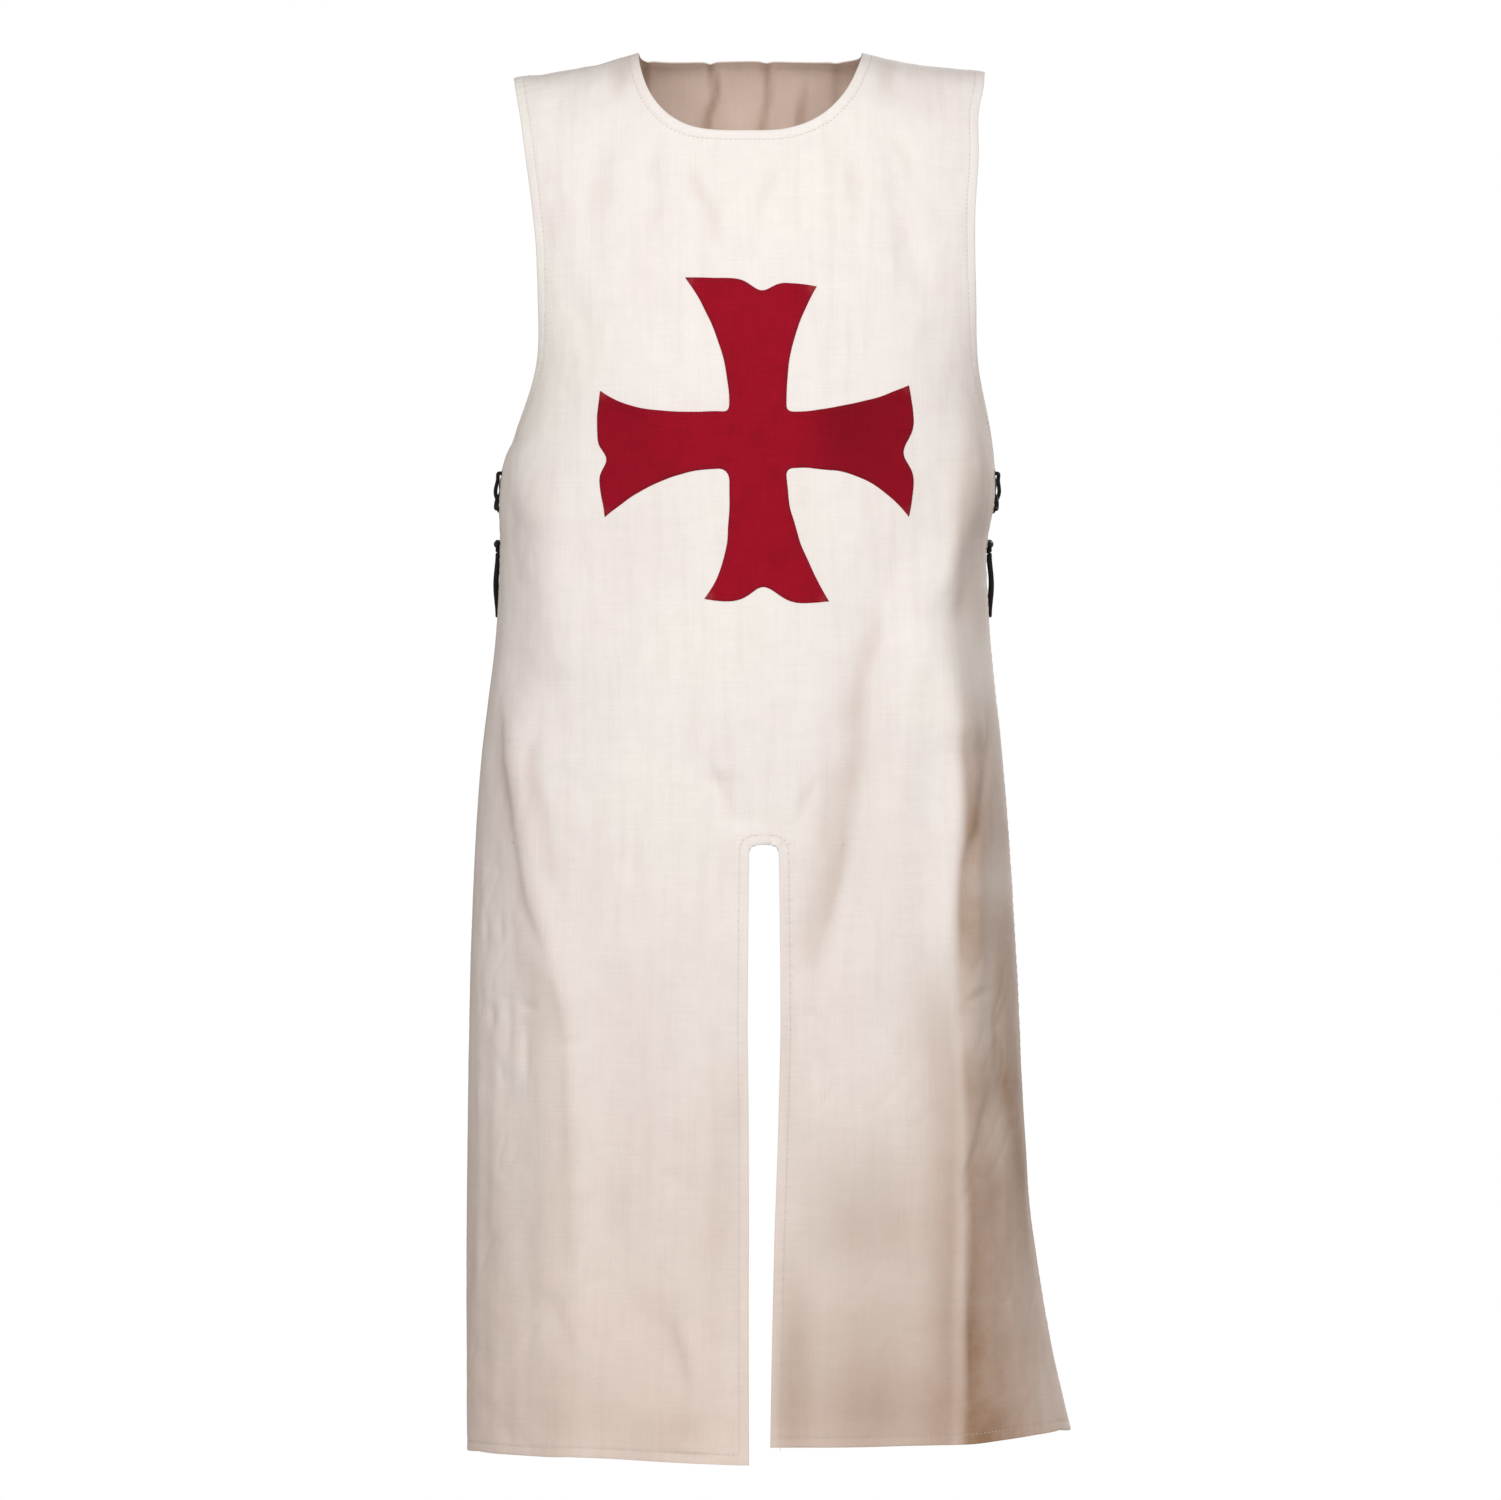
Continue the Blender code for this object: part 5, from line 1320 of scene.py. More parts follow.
def spindles(starts, stops, normals, thread):
    """Many stitches at once, from arrays of their two ends and the cloth's normal there. Each is a spindle:
    five-sided rings whose radius runs as the root of a sine from end to end, along a line that rises out of
    the cloth as a sine and dives back into it.
    """
    radius, lift = thread / 2, thread * STITCH_LIFT
    t = np.linspace(0.0, 1.0, SPINDLE_RINGS)
    around = np.linspace(0.0, 2 * np.pi, SPINDLE_SIDES, endpoint=False)
    axis = unit(stops - starts)
    side = unit(np.cross(axis, normals))
    up = np.cross(side, axis)
    middle = starts[:, None] + (stops - starts)[:, None] * t[None, :, None]
    middle = middle + up[:, None] * (lift * np.sin(np.pi * t) - radius * 0.4)[None, :, None]
    girth = radius * np.sqrt(np.maximum(np.sin(np.pi * (0.08 + 0.84 * t)), 0.0))
    ring = np.cos(around)[:, None] * side[:, None] + np.sin(around)[:, None] * up[:, None]
    points = middle[:, :, None] + girth[None, :, None, None] * ring[:, None]
    count = len(starts)
    index, quads = rings(SPINDLE_RINGS, SPINDLE_SIDES)
    shifts = (np.arange(count) * index.size)[:, None]
    caps = np.stack([index[0], index[-1][::-1]])
    all_quads = (quads[None] + shifts[..., None]).reshape(-1, 4)
    all_caps = (caps[None] + shifts[..., None]).reshape(-1, SPINDLE_SIDES)
    uv_row = np.stack(np.broadcast_arrays(around * radius, t[:, None] * 0.003), axis=-1).reshape(-1, 2)
    return points.reshape(-1, 3), [*all_quads, *all_caps], np.tile(uv_row, (count, 1))


def join(parts):
    """(points, faces, uvs) of several meshes put into one."""
    points, faces, uvs, total = [], [], [], 0
    for part_points, part_faces, part_uvs in parts:
        points.append(part_points)
        uvs.append(part_uvs)
        faces.extend(face + total for face in part_faces)
        total += len(part_points)
    return np.concatenate(points), faces, np.concatenate(uvs)


def hem_routes(cloth):
    """The sewing lines of a panel as functions from shares of a line to (across, down): one hem's width in
    from the neckline, the side edges, the hem and the slit.
    """
    inset = cloth.hem_width
    slit_top = float(cloth.down_at(cloth.slit["drop"][0]))

    def neck(t):
        x, down = cloth.neckline(2.0 * t - 1.0, inset)
        down = np.maximum(down, SEWING_STARTS)
        return cloth.across_at(x, down), down

    def side(sign):
        bottom = float(cloth.hem_down(np.array(float(sign)))) - inset

        def route(t):
            down = SEWING_STARTS + (bottom - SEWING_STARTS) * t
            return sign * (1.0 - inset / cloth.edge_speed(sign, down)), down
        return route

    def slit(sign):
        def route(t):
            down = slit_top - inset + (cloth.length - SLIT_SEWING_STOPS - slit_top) * t
            full = np.interp(cloth.at("drop", down), *cloth.slit.values()) + inset
            half = arched(down, slit_top - inset, SLIT_ARCH + inset) * full
            return cloth.across_at(cloth.at("centre", down) + sign * np.maximum(half, 1e-5), down), down
        return route

    def hem(sign):
        def route(t):
            inner = abs(float(cloth.inner_edge(sign, cloth.length))) + inset / HALF_SECTION
            outer = 1.0 - inset / float(cloth.edge_speed(sign, cloth.length))
            across = sign * (inner + (outer - inner) * t)
            return across, cloth.hem_down(across) - inset
        return route

    return [neck, *(make(sign) for make in (side, slit, hem) for sign in (-1, 1))]


def make_stitches(cloth, settings):
    """The hem stitches of one panel, all in one mesh."""
    rows = []
    for route in hem_routes(cloth):
        def place(t, route=route):
            face = cloth.face(*route(t))
            return face["points"], face["normals"]
        rows.append(stitch_row(place, 400, settings.stitch_pitch, settings.thread))
    points, faces, uvs = join(rows)
    thread = once("undyed_cotton_thread", twisted_thread, settings.thread_colour)
    made = build(cloth.name + "_stitches", points, faces, thread, {"cloth": uvs})
    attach(made, "root")
    return made


EYELET_RIBS = 22
EYELET_ROUND, EYELET_TURNS = 110, 12
BORDER_MIDDLE, BORDER_HALF = 0.0009, 0.0011  # from the hole to its stitches' middle, and half their width
BORDER_PROUD = 0.0005  # how far they stand off the cloth
RIB_SWELL = 0.14


def eyelet_ring(cloth, sign, drop):
    """(points, faces, uvs) of one worked eyelet: buttonhole stitches laid side by side round the hole. A
    flat ellipse is carried round a circle, and swells and thins once for each stitch.
    """
    centre, normal, towards = cloth.eyelet(sign, drop)
    up = np.cross(normal, towards)
    turn = np.linspace(0.0, 2 * np.pi, EYELET_ROUND, endpoint=False)[:, None]
    around = np.linspace(0.0, 2 * np.pi, EYELET_TURNS, endpoint=False)[None, :]
    swell = 1.0 + RIB_SWELL * np.cos(turn * EYELET_RIBS)
    reach = EYELET_RADIUS + BORDER_MIDDLE + BORDER_HALF * swell * np.cos(around)
    height = (CLOTH / 2 + BORDER_PROUD) * swell * np.sin(around)
    ring = np.cos(turn)[..., None] * towards + np.sin(turn)[..., None] * up
    points = centre + reach[..., None] * ring + height[..., None] * normal
    _, quads = rings(turn.size, around.size, looped=True)
    uvs = np.stack(np.broadcast_arrays(turn * EYELET_RADIUS, around * 0.001), axis=-1).reshape(-1, 2)
    return points.reshape(-1, 3), list(quads), uvs


def make_eyelets(cloth, settings):
    """The worked eyelets of one panel, all in one mesh."""
    points, faces, uvs = join([eyelet_ring(cloth, sign, drop) for sign in (-1, 1) for drop in EYELET_DROPS])
    thread = once("undyed_cotton_thread", twisted_thread, settings.thread_colour)
    made = build(cloth.name + "_eyelets", points, faces, thread, {"cloth": uvs}, sharp=180.0)
    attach(made, "root")
    return made


# --- cross --------------------------------------------------------------------------------------------

ARM_CELLS = 44  # along an arm, across it and across the centre
CROSS_FIELD = 0.0008  # how far the cross stands off the canvas in its field
CROSS_RIM = 0.0013  # and at its edge, where the cloth is turned under
CROSS_BACK = 0.00005  # and how far its inner side does
TURNING, TURNING_FADES = 0.005, 0.003  # width of the cloth turned under, and of the slope down from it
RIM_ROUNDING, RIM_WIDTH = 0.0007, 0.0014
RIPPLES = 0.00018, 0.00022  # heights of the waves all over, and of the finer ones where it is turned under
RUBBED = 0.011  # distance from the tip of a horn within which the cross is rubbed pale
CORNER_ROUNDING = {(-1, -1): 0.012, (1, -1): 0.007, (-1, 1): 0.006, (1, 1): 0.006}
CORNER_FILL = 0.354  # how far the cloth fills an inner corner, as a share of its rounding
CUT_WANDERS = 0.0006  # how far the hand-cut edge strays from its line


def turned(arm, forward, side):
    """Flat (x, z) places from lengths along an arm and across it."""
    angle = math.radians(arm["turn"])
    along = np.array([math.cos(angle), math.sin(angle)])
    to_first = np.array([-along[1], along[0]])
    offset = np.asarray(forward)[..., None] * along + np.asarray(side)[..., None] * to_first
    return offset + np.array(CROSS_CENTRE)


def arm_point(arm, t, v):
    """A flat place in an arm from its share t along the arm and v across it, -1 to 1. The sides swing out
    with a power of t, and the end between them swells and dips in a notch.
    """
    spread = np.where(v >= 0, arm["spread_1"], arm["spread_2"])
    reach = np.where(v >= 0, arm["reach_1"], arm["reach_2"])
    flare = np.where(v >= 0, arm["flare_1"], arm["flare_2"])
    side = v * (CROSS_HALF_WAIST + (spread - CROSS_HALF_WAIST) * t**flare)
    at_end = v * spread
    share = (arm["spread_1"] - at_end) / (arm["spread_1"] + arm["spread_2"])
    swell = arm["swell"] * 4 * share * (1 - share)
    end = arm["reach_1"] + (arm["reach_2"] - arm["reach_1"]) * share + swell
    dip = np.exp(-(((at_end + arm["notch_at"]) / arm["notch_width"]) ** 2))
    end = end - arm["notch"] * dip * (1.0 - np.abs(v) ** 24)
    end = np.where(np.abs(v) >= 1.0, reach, end)
    return turned(arm, CROSS_HALF_WAIST + (end - CROSS_HALF_WAIST) * t, side)


def flat_cross():
    """(flat points, quads, rubbed) of the cross: a square grid in the centre and a grid for each arm, with
    the inner corners rounded and the edge straying a little. rubbed is 1 at the tips of the horns.
    """
    steps = np.linspace(0.0, 1.0, ARM_CELLS + 1)
    t, v = np.meshgrid(steps, 2 * steps - 1, indexing="ij")
    quads = squares(np.arange(t.size).reshape(t.shape), 1)[:, ::-1]
    square = np.stack([2 * t - 1, v], axis=-1) * CROSS_HALF_WAIST + np.array(CROSS_CENTRE)
    patches, tips = [square.reshape(-1, 2)], []
    for row in CROSS_ARMS:
        arm = dict(zip(CROSS_COLUMNS, row))
        patches.append(arm_point(arm, t, v).reshape(-1, 2))
        tips.append(turned(arm, arm["reach_1"], arm["spread_1"]))
        tips.append(turned(arm, arm["reach_2"], -arm["spread_2"]))
    faces = np.concatenate([quads + t.size * k for k in range(len(patches))])
    flat, faces = weld(np.concatenate(patches), faces)
    to_tip = np.linalg.norm(flat[:, None] - np.array(tips), axis=2).min(axis=1)
    for corner, radius in CORNER_ROUNDING.items():
        outwards = np.array(corner) / math.sqrt(2.0)
        away = np.linalg.norm(flat - CROSS_CENTRE - CROSS_HALF_WAIST * np.array(corner), axis=1)
        flat = flat + rounded(away, CORNER_FILL * radius, radius)[:, None] * outwards
    u, v = flat.T
    stray = np.stack([uneven(u, v, 0.016, 0.016, 53), uneven(u, v, 0.016, 0.016, 54)], axis=1)
    return flat + CUT_WANDERS * stray, faces, eased(1.0 - to_tip / RUBBED)


def weld(flat, quads):
    """Merges points that lie on each other, to a hundredth of a millimetre."""
    cells = np.round(flat / 1e-5).astype(int)
    _, first, same = np.unique(cells, axis=0, return_index=True, return_inverse=True)
    return flat[first], same.ravel()[quads]


def on_panel(cloth, flat):
    """(across, down) of the places on the panel that lie at given x and z, by repeated correction."""
    down = cloth.down_at(-flat[:, 1])
    across = cloth.across_at(flat[:, 0], down)
    for _ in range(8):
        here = cloth.point(across, down)
        down = down + (here[:, 2] - flat[:, 1])
        across = across + (flat[:, 0] - here[:, 0]) / cloth.side(across, down)[0]
    return across, down


def rim_line(quads):
    """The points round the edge of a mesh in order, as one closed row of indices."""
    edges = np.stack([quads, np.roll(quads, -1, axis=1)], axis=-1).reshape(-1, 2)
    total = quads.max() + 1
    forward, backward = edges[:, 0] * total + edges[:, 1], edges[:, 1] * total + edges[:, 0]
    follow = dict(edges[~np.isin(forward, backward)].tolist())
    start = next(iter(follow))
    order = [start]
    while follow[order[-1]] != start:
        order.append(follow[order[-1]])
    return np.array(order)


def make_cross(settings):
    """The cross as a closed shell on the front panel, thicker at the rim where its edge is turned under.
    Also gives its flat size and area, and its outline as flat points in order.
    """
    flat, quads, rubbed = flat_cross()
    across, down = on_panel(FRONT, flat)
    face = FRONT.face(across, down)
    base, normal = face["points"], face["normals"]
    order = rim_line(quads)
    around = base[np.append(order, order[0])]
    rim, _ = nearest_on(base, around)
    doubled = 1.0 - eased((rim - TURNING) / TURNING_FADES)
    u, v = flat.T
    broad, fine = uneven(u, v, 0.012, 0.016, 51), uneven(u, v, 0.005, 0.006, 52)
    ripple = RIPPLES[0] * broad + RIPPLES[1] * fine * doubled
    edge = rounded(rim, RIM_ROUNDING, RIM_WIDTH)
    height = CROSS_FIELD + (CROSS_RIM - CROSS_FIELD) * doubled - edge + ripple
    outer, inner = base + normal * height[:, None], base + normal * CROSS_BACK
    facing = np.cross(outer[quads[0, 1]] - outer[quads[0, 0]], outer[quads[0, 2]] - outer[quads[0, 0]])
    quads = quads if np.dot(facing, normal[quads[0, 0]]) > 0 else quads[:, ::-1]
    points, faces, source, _ = closed(outer, inner, quads)
    shade = FRONT.strokes(FRONT.bare(across, down), laid_out(CROSS_SHADES, 1.0), **SHADE_MANNER)
    values = {"rim_distance": rim[source], "rubbed": rubbed[source], "shade": shade[source]}
    finish = once("crimson_dyed_cotton", red_cotton, settings)
    made = build("cross", points, faces, finish, {"cloth": flat[source]}, values)
    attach(made, "root")
    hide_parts("cross_applique")
    upright = np.pad(flat, ((0, 0), (0, 1)))
    return made, np.ptp(flat, axis=0), surface(upright[quads]), flat[order]


def cross_stitches(settings, outline):
    """Running stitches round the cross, a little inside its edge."""
    ring = np.concatenate([outline, outline[:1]])
    inward = unit(np.gradient(ring, axis=0))[:, ::-1] * np.array([-1.0, 1.0])
    middle = np.array(CROSS_CENTRE)
    turn = np.sign(np.cross(ring[1] - ring[0], middle - ring[0]))
    lengths = lengths_along(ring)
    padded = np.pad(inward, ((2, 2), (0, 0)), mode="edge")
    smooth = np.lib.stride_tricks.sliding_window_view(padded, 5, axis=0).mean(axis=2)
    inset = ring + unit(smooth) * settings.stitch_inset * turn

    def place(t):
        flat = np.stack([np.interp(t * lengths[-1], lengths, inset[:, k]) for k in (0, 1)], axis=1)
        face = FRONT.face(*on_panel(FRONT, flat), out=CROSS_RIM)
        return face["points"], face["normals"]

    thread = once("crimson_cotton_thread", twisted_thread, settings.dark)
    points, faces, uvs = stitch_row(place, 1200, settings.stitch_pitch, CROSS_THREAD)
    made = build("cross_stitches", points, faces, thread, {"cloth": uvs})
    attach(made, "root")
    return made


# --- laces --------------------------------------------------------------------------------------------


def turn_through(place, into):
    """The lace's half turn through an eyelet: from outside to inside, or the other way."""
    centre, normal, towards = place
    angles = np.linspace(np.pi / 2, -np.pi / 2, 5)[:, None] * (1 if into else -1)
    return centre + LACE_BEND * (towards * (1.0 - np.cos(angles)) + normal * np.sin(angles))


def strand(start, stop, drops, sign, panels, face, shift):
    """A strand between two eyelets of opposite panels, clear of both side edges. face is +1 outside the
    cloth and -1 inside; shift moves the middle of the strand out or in, past the strand it crosses.
    """
    if face < 0:
        middle = (start + stop) / 2 + np.array([sign * shift, 0.0, 0.0])
        return [start + (middle - start) * STRAND_BOW, middle, stop + (middle - stop) * STRAND_BOW]
    over = []
    for panel, share in zip(panels, STRAND_SHARES):
        edge, normal = panel.edge(sign, drops[0] + (drops[1] - drops[0]) * share)
        over.append(edge + normal * LACE_BEND)
    return [over[0], (over[0] + over[1]) / 2 + np.array([sign * shift, 0.0, 0.0]), over[1]]


def twist(sign, phase):
    """One strand of the knot: a screw round the line between the lowest eyelets."""
    edge_f, _ = FRONT.edge(sign, EYELET_DROPS[2])
    edge_b, _ = BACK.edge(sign, EYELET_DROPS[2])
    middle = (edge_f + edge_b) / 2 + np.array([sign * LACE_BEND, 0.0, 0.0])
    t = np.linspace(-1.0, 1.0, int(8 * TWIST_TURNS) + 1)[:, None]
    angle = phase + np.pi * TWIST_TURNS * (t - 1.0)
    out, up = np.array([sign, 0.0, 0.0]), np.array([0.0, 0.0, 1.0])
    spin = TWIST_RADIUS * (out * np.cos(angle) + up * np.sin(angle))
    return middle + np.array([0.0, 1.0, 0.0]) * t * TWIST_HALF_LENGTH + spin


def turn_down(last, towards, diameter):
    """Four points that bend a strand from level to straight down."""
    angles = np.radians([30.0, 60.0, 90.0])[:, None]
    level, down = np.array([0.0, towards, 0.0]), np.array([0.0, 0.0, -1.0])
    bend = last + END_BEND * (level * np.sin(angles) + down * (1.0 - np.cos(angles)))
    return np.concatenate([bend, bend[-1:] + down * diameter / 2])


def lace_route(sign, diameter):
    """The whole lace of one side as points: out of the knot, through the lowest front eyelet, up in crosses
    to the bar behind the top pair, and down in crosses to the lowest back eyelet and the knot.
    """
    f = [FRONT.eyelet(sign, drop) for drop in EYELET_DROPS]
    b = [BACK.eyelet(sign, drop) for drop in EYELET_DROPS]
    f_in, b_out = [turn_through(e, True) for e in f], [turn_through(e, False) for e in b]
    d = EYELET_DROPS
    low, high = twist(sign, -np.pi / 2), twist(sign, np.pi / 2)
    lowest = [cloth.edge(sign, d[2]) for cloth in CLOTHS]
    over_f, over_b = (edge + normal * LACE_BEND for edge, normal in lowest)
    there, back = (FRONT, BACK), (BACK, FRONT)
    parts = [
        turn_down(low[-1], 1.0, diameter)[::-1], low[::-1], over_f, f_in[2],
        strand(f_in[2][-1], b_out[1][0], (d[2], d[1]), sign, there, -1, LACE_OVER), b_out[1],
        strand(b_out[1][-1], f_in[0][0], (d[1], d[0]), sign, back, 1, LACE_OVER), f_in[0],
        strand(f_in[0][-1], b_out[0][0], (d[0], d[0]), sign, there, -1, 0.0), b_out[0],
        strand(b_out[0][-1], f_in[1][0], (d[0], d[1]), sign, back, 1, LACE_UNDER), f_in[1],
        strand(f_in[1][-1], b_out[2][0], (d[1], d[2]), sign, there, -1, LACE_UNDER), b_out[2],
        over_b, high[::-1], turn_down(high[0], -1.0, diameter),
    ]
    return np.concatenate([np.atleast_2d(p) for p in parts])


def end_route(start, length, sign, lean):
    """A hanging lace end: straight down from the knot with a slight bow away from the cloth."""
    t = np.linspace(0.0, 1.0, 9)[:, None]
    top = start - np.array([0.0, 0.0, SEAM_GAP])
    bow = np.sin(np.pi * t) ** 2 * np.array([sign * END_BOW, 0.0, 0.0])
    return top + t * length * np.array([0.0, lean, -1.0]) + bow


BRAID_STRANDS = 4  # winding each way round the cord
BRAID_PITCH = 0.0085  # length in which a strand winds once round


def braid(around, along):
    """The outside of a round braid, from 0.9 in its gaps to 1 on its strands: two sets of screw-shaped
    ridges, one winding each way, of which the higher shows.
    """
    turn = 2 * np.pi * along / BRAID_PITCH
    left, right = np.cos(BRAID_STRANDS * (around + turn)), np.cos(BRAID_STRANDS * (around - turn))
    return 0.9 + 0.1 * (0.5 + 0.5 * np.maximum(left, right))


def make_cord(name, node, route, settings):
    """A lace or a lace's end along a route of points. Also gives the smooth line through them."""
    line = smooth_line(route, 0.0006)
    points, faces, uvs = tube(line, settings.diameter / 2, 20, braid)
    around, along = uvs[:, 0] / (settings.diameter / 2), uvs[:, 1]
    strands = (braid(around, along) - 0.9) * 10.0
    finish = once("black_braided_cotton", black_cord, settings)
    made = build(name, points, faces, finish, {"cord": uvs}, {"strand": strands}, sharp=70.0)
    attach(made, "root")
    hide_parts(node)
    return made, line


# --- stage --------------------------------------------------------------------------------------------

CAMERA_PLACE = (0.0, -4.0, -0.628)
CAMERA_ACROSS = 0.6755  # metres across the frame at the shoulder line
SENSOR = 0.036
FLOOR_DROP = 0.20  # the floor lies that far below the hem
LIT_POINT = (0.0, 0.0, -0.60)
LAMPS = {"key": ((-0.02, -2.6, 0.35), (3.6, 1.2)), "rear": ((1.1, 2.3, 0.50), (1.6, 1.2))}  # place and size


def aim(thing, place, target):
    """Puts a lamp or the camera at a place, looking at a target."""
    direction = np.array(target) - np.array(place)
    level = math.atan2(direction[0], direction[1])
    thing.location = place
    thing.rotation_euler = (math.pi / 2 + math.atan2(direction[2], math.hypot(*direction[:2])), 0.0, -level)


def make_camera():
    """A level camera, whose lens takes in the frame's width at the shoulder line."""
    data = bpy.data.cameras.new("camera")
    data.sensor_width = SENSOR * 1000
    data.lens = SENSOR * 1000 * abs(CAMERA_PLACE[1]) / (2 * CAMERA_ACROSS)
    made = bpy.data.objects.new("camera", data)
    bpy.context.scene.collection.objects.link(made)
    aim(made, CAMERA_PLACE, (0.0, 0.0, CAMERA_PLACE[2]))
    bpy.context.scene.camera = made


def make_lamp(name, place, size, power, colour):
    """A soft lamp of that size, looking at the middle of the garment."""
    data = bpy.data.lights.new(name, "AREA")
    data.shape, data.size, data.size_y, data.energy, data.color = "RECTANGLE", *size, power, colour
    made = bpy.data.objects.new(name, data)
    bpy.context.scene.collection.objects.link(made)
    aim(made, place, LIT_POINT)
    made.visible_camera = False


def make_world(settings):
    """A plain studio: white behind the object, and a dimmer, even light from all round."""
    world = bpy.data.worlds.new("studio")
    world.use_nodes = True
    tree = world.node_tree
    tree.nodes.clear()
    seen = add(tree, "Background", {"Color": (1.0, 1.0, 1.0, 1.0), "Strength": 1.0})
    lit = add(tree, "Background", {"Color": (*settings.fill_colour, 1.0), "Strength": settings.fill})
    both = add(tree, "MixShader", {0: add(tree, "LightPath", out="Is Camera Ray"), 1: lit, 2: seen})
    add(tree, "OutputWorld", {"Surface": both})
    bpy.context.scene.world = world


def make_floor(hem_height):
    """A round pale floor that fades out towards its rim, so that it has no horizon."""
    turn = np.linspace(0.0, 2 * np.pi, 96, endpoint=False)[None, :]
    radius = np.linspace(0.02, 0.85, 40)[:, None]
    x, y = radius * np.cos(turn), radius * np.sin(turn)
    points = np.stack([x, y, np.full(x.shape, hem_height - FLOOR_DROP)], axis=-1)
    index, quads = rings(radius.size, turn.size)
    made, tree = new_material("matt_studio_floor")
    level = add(tree, "Mapping", {"Vector": add(tree, "TexCoord", out="Object"), "Scale": (1.0, 1.0, 0.0)})
    far = add(tree, "VectorMath", {0: level}, "Value", operation="LENGTH")
    fading = add(tree, "MapRange", dict(enumerate((far, 0.30, 0.84, 1.0, 0.0))), **SOFT)
    pale = (*linear("F2F1EF"), 1.0)
    shader = add(tree, "BsdfPrincipled", {"Base Color": pale, "Roughness": 0.9, "Alpha": fading})
    add(tree, "OutputMaterial", {"Surface": shader})
    floor = build("floor", points.reshape(-1, 3), [*quads, index[0][::-1]], made)


# --- settings -----------------------------------------------------------------------------------------


COLOUR = {"subtype": "COLOR", "min": 0.0, "max": 1.0}


class CanvasSettings(bpy.types.PropertyGroup):
    colour: FloatVectorProperty(name="Canvas", description="Clean canvas in full light",
                                default=linear("F5F3EF"), **COLOUR)
    pink: FloatVectorProperty(name="Undertone", description="Canvas where washing left it a little pink",
                              default=linear("F3EEEC"), **COLOUR)
    # painted shade in the creases, and the grey of the yarn's long streaks
    crease: FloatVectorProperty(name="Crease", description="Canvas deep in a fold",
                                default=linear("D3C2B8"), **COLOUR)
    # painted shade: canvas darker and warmer towards the hem, in patches
    low_shade: FloatVectorProperty(name="Soiled", description="Canvas near the hem",
                                default=linear("ECDDD4"), **COLOUR)
    # painted shade: the brown where the sides turn away and in the lee of the folds
    side_and_fold_shade: FloatVectorProperty(name="Stained", description="Canvas rubbed brown at the sides",
                                 default=linear("9E7C60"), **COLOUR)
    # painted shade: the inner side darker and browner, out of the light
    inside: FloatVectorProperty(name="Inside", description="Inner side of the canvas, browned by wear",
                                default=linear("E0CCC0"), **COLOUR)
    thread_colour: FloatVectorProperty(name="Thread", description="Sewing thread of hems and eyelets",
                                       default=linear("EAE1D6"), **COLOUR)
    thickness: FloatProperty(name="Cloth", description="Thickness of one layer", default=0.0009,
                             unit="LENGTH")
    hem_width: FloatProperty(name="Hem width", description="From an edge to its stitches",
                             default=HEM_WIDTH, unit="LENGTH")
    creases: FloatProperty(name="Creases", description="Strength of the fine creases", default=1.0,
                           subtype="FACTOR", min=0.0, max=2.0)
    stitch_pitch: FloatProperty(name="Stitch", description="From one hem stitch to the next",
                                default=0.0042, unit="LENGTH")
    thread: FloatProperty(name="Thread thickness", description="Diameter of the sewing thread",
                          default=0.0006, unit="LENGTH")


class CrossSettings(bpy.types.PropertyGroup):
    colour: FloatVectorProperty(name="Cross", description="Dyed cotton", default=linear("9C1026"),
                                **COLOUR)
    # the dark colour is also the painted shade along the turned edge and on the arms
    dark: FloatVectorProperty(name="Dark", description="Mottling, turned edge and thread",
                              default=linear("7A0B1B"), **COLOUR)
    faded: FloatVectorProperty(name="Faded", description="Rubbed tips of the arms",
                               default=linear("B8494E"), **COLOUR)
    stitch_inset: FloatProperty(name="Stitch inset", description="From the edge to the stitches",
                                default=0.0026, unit="LENGTH")
    stitch_pitch: FloatProperty(name="Stitch", description="From one stitch to the next", default=0.0038,
                                unit="LENGTH")


class LaceSettings(bpy.types.PropertyGroup):
    colour: FloatVectorProperty(name="Lace", description="Black cotton cord", default=linear("0E0D0F"),
                                **COLOUR)
    bloom: FloatVectorProperty(name="Bloom", description="Cord where it is rubbed",
                               default=linear("2C2A2D"), **COLOUR)
    diameter: FloatProperty(name="Diameter", description="Thickness of the cord", default=0.0036,
                            unit="LENGTH")
    front_end: FloatProperty(name="Front end", description="Length of each front lace end", default=0.058,
                             unit="LENGTH")
    back_end: FloatProperty(name="Back end", description="Length of each back lace end", default=0.052,
                            unit="LENGTH")


class StageSettings(bpy.types.PropertyGroup):
    key: FloatProperty(name="Key light", description="Power of the large front light, in watts",
                       default=65.0, min=0.0)
    rear: FloatProperty(name="Rear light", description="Power of the light behind, in watts",
                        default=60.0, min=0.0)
    fill: FloatProperty(name="Fill", description="Strength of the light from all round", default=0.30,
                        min=0.0)
    key_colour: FloatVectorProperty(name="Key colour", description="Colour of the front and rear lights",
                                    default=linear("FFFFFF"), **COLOUR)
    fill_colour: FloatVectorProperty(name="Fill colour", description="Colour of the light from all round",
                                     default=linear("FFEFE4"), **COLOUR)


# --- operators ----------------------------------------------------------------------------------------


class SURCOAT_OT_stage(bpy.types.Operator):
    """Adds the camera, the studio lights and the floor"""

    bl_idname = "surcoat.stage"
    bl_label = "Stage"

    def execute(self, context):
        settings = context.scene.surcoat_stage
        make_camera()
        make_world(settings)
        for name, (place, size) in LAMPS.items():
            make_lamp(name, place, size, getattr(settings, name), settings.key_colour)
        make_floor(CAD_BOX[0][2])
        return {"FINISHED"}


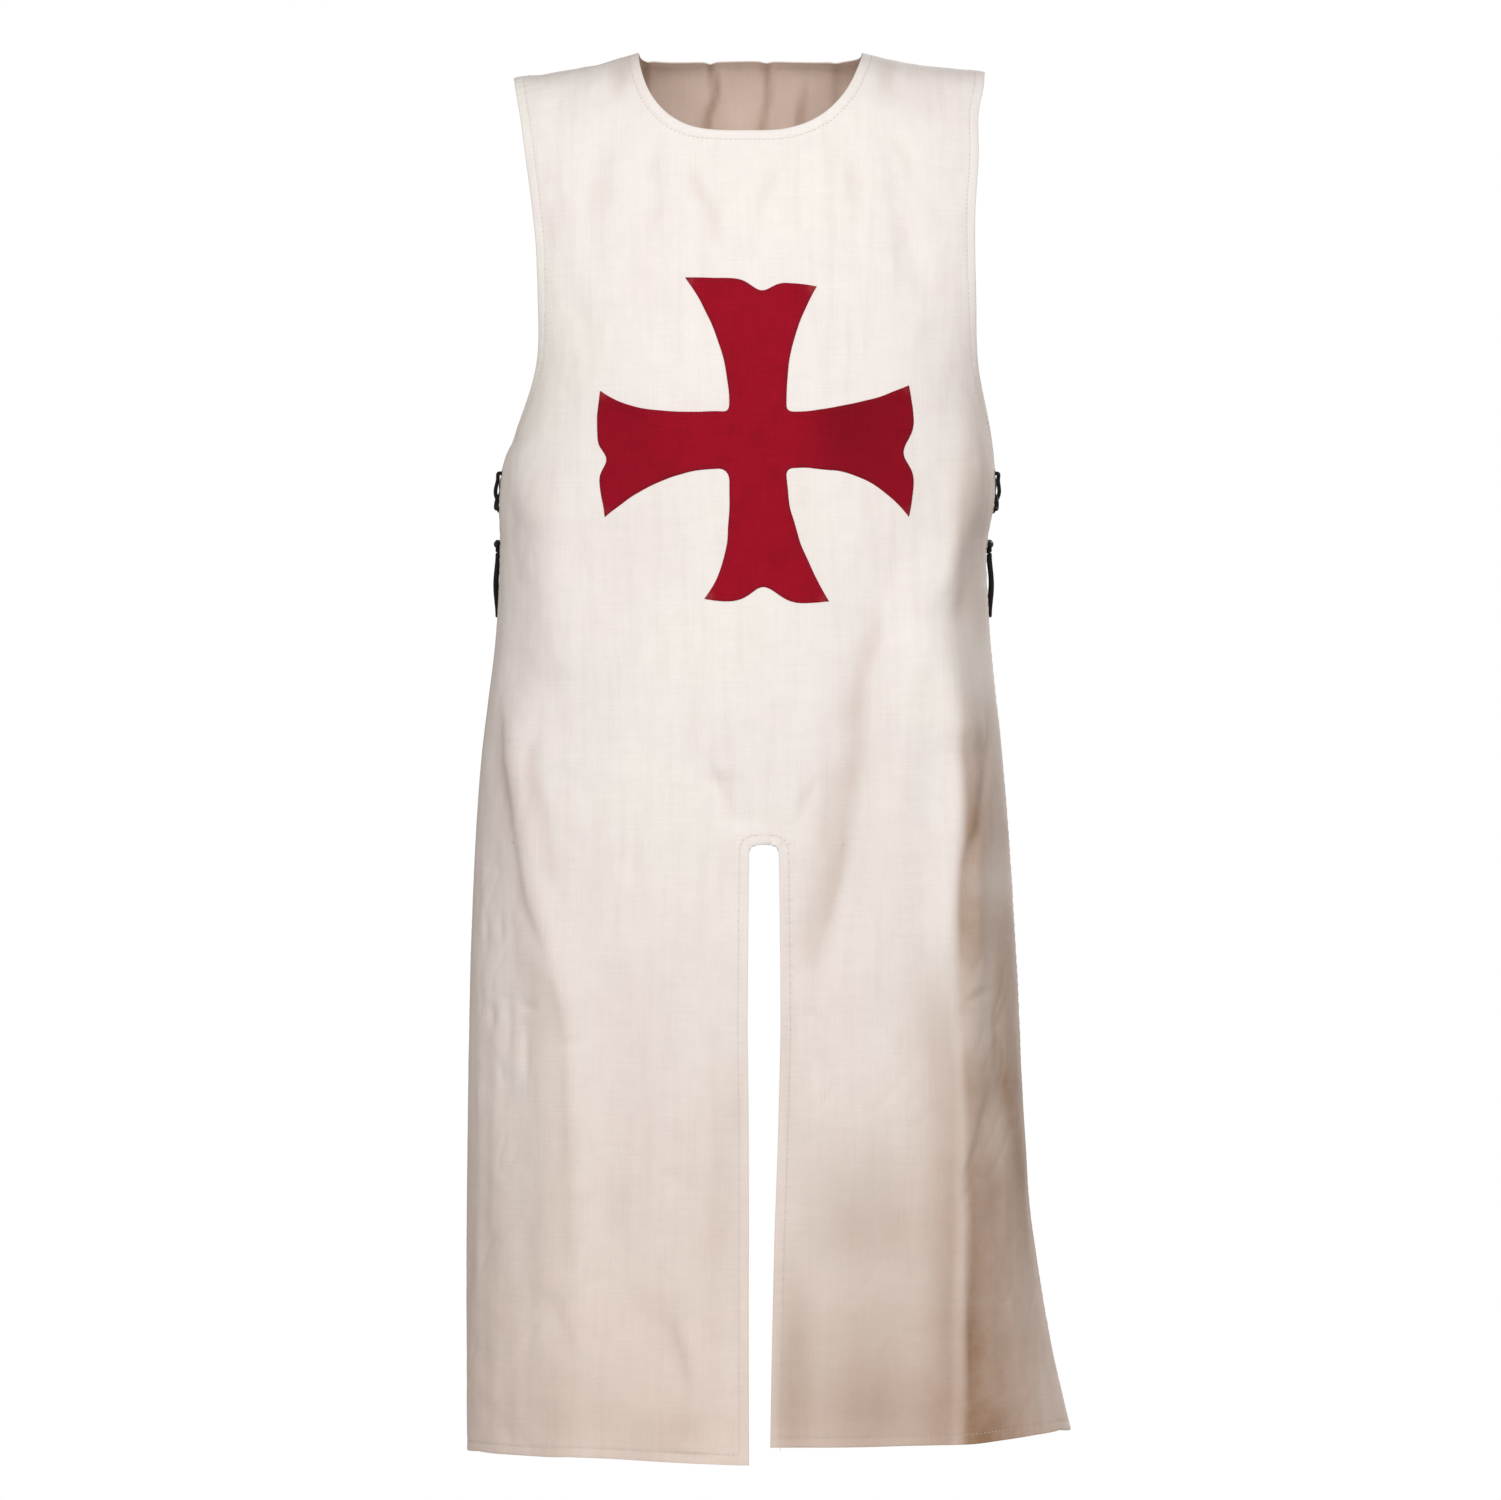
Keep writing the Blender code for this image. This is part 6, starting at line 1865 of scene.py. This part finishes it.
class SURCOAT_OT_laces(bpy.types.Operator):
    """Adds the side laces and their free ends"""

    bl_idname = "surcoat.laces"
    bl_label = "Laces"

    def execute(self, context):
        settings = context.scene.surcoat_laces
        for side, sign in (("left", 1), ("right", -1)):
            route = lace_route(sign, settings.diameter)
            make_cord(f"lace_{side}", "side_lace_" + side, route, settings)
            ends = (("back", route[0], settings.back_end), ("front", route[-1], settings.front_end))
            for panel, start, length in ends:
                points = end_route(start, length, sign, END_LEANS[panel])
                made, line = make_cord(f"end_{side}_{panel}", f"lace_end_{side}_{panel}", points, settings)
        return {"FINISHED"}


class SURCOAT_OT_panels(bpy.types.Operator):
    """Adds the two canvas panels with their hem stitches and worked eyelets"""

    bl_idname = "surcoat.panels"
    bl_label = "Panels"

    def execute(self, context):
        settings = context.scene.surcoat_canvas
        for cloth in CLOTHS:
            cloth.hem_width, cloth.crease_strength = settings.hem_width, settings.creases
            sewing = [make_stitches(cloth, settings), make_eyelets(cloth, settings)]
            made, width, length, area = make_panel(cloth, settings)
            print(f"{made.name}: cut {width:.3f} x {length:.3f} m, {area:.4f} square metres")
        return {"FINISHED"}


class SURCOAT_OT_cross(bpy.types.Operator):
    """Sews the cross on the breast"""

    bl_idname = "surcoat.cross"
    bl_label = "Cross"

    def execute(self, context):
        settings = context.scene.surcoat_cross
        made, size, area, outline = make_cross(settings)
        sewing = cross_stitches(settings, outline)
        print(f"cross: cut {size[0]:.3f} x {size[1]:.3f} m, {area:.4f} square metres")
        return {"FINISHED"}


class SURCOAT_PT_pieces(bpy.types.Panel):
    """Lists what can be built"""

    bl_idname = "SURCOAT_PT_pieces"
    bl_label = "Surcoat"
    bl_space_type = "VIEW_3D"
    bl_region_type = "UI"
    bl_category = "Surcoat"

    def draw(self, context):
        pairs = {"stage": "stage", "laces": "laces", "panels": "canvas", "cross": "cross"}
        for operator, settings in pairs.items():
            box = self.layout.box()
            box.operator("surcoat." + operator)
            group = getattr(context.scene, "surcoat_" + settings)
            for name in group.bl_rna.properties.keys():
                if name not in ("rna_type", "name"):
                    box.prop(group, name)


SETTINGS = {
    "surcoat_canvas": CanvasSettings, "surcoat_cross": CrossSettings,
    "surcoat_laces": LaceSettings, "surcoat_stage": StageSettings,
}
CLASSES = (
    *SETTINGS.values(),
    SURCOAT_OT_stage, SURCOAT_OT_laces, SURCOAT_OT_panels, SURCOAT_OT_cross, SURCOAT_PT_pieces,
)


def register():
    """Adds the settings, the operators and the panel to Blender."""
    for cls in CLASSES:
        bpy.utils.register_class(cls)
    for name, group in SETTINGS.items():
        setattr(bpy.types.Scene, name, PointerProperty(type=group))


def unregister():
    """Takes them out again."""
    for name in SETTINGS:
        delattr(bpy.types.Scene, name)
    for cls in reversed(CLASSES):
        bpy.utils.unregister_class(cls)


def main():
    """Builds the stage and every piece."""
    register()
    bpy.ops.surcoat.stage()
    bpy.ops.surcoat.laces()
    bpy.ops.surcoat.panels()
    bpy.ops.surcoat.cross()
    bpy.context.scene.view_settings.view_transform = "Standard"


if __name__ == "__main__":
    main()
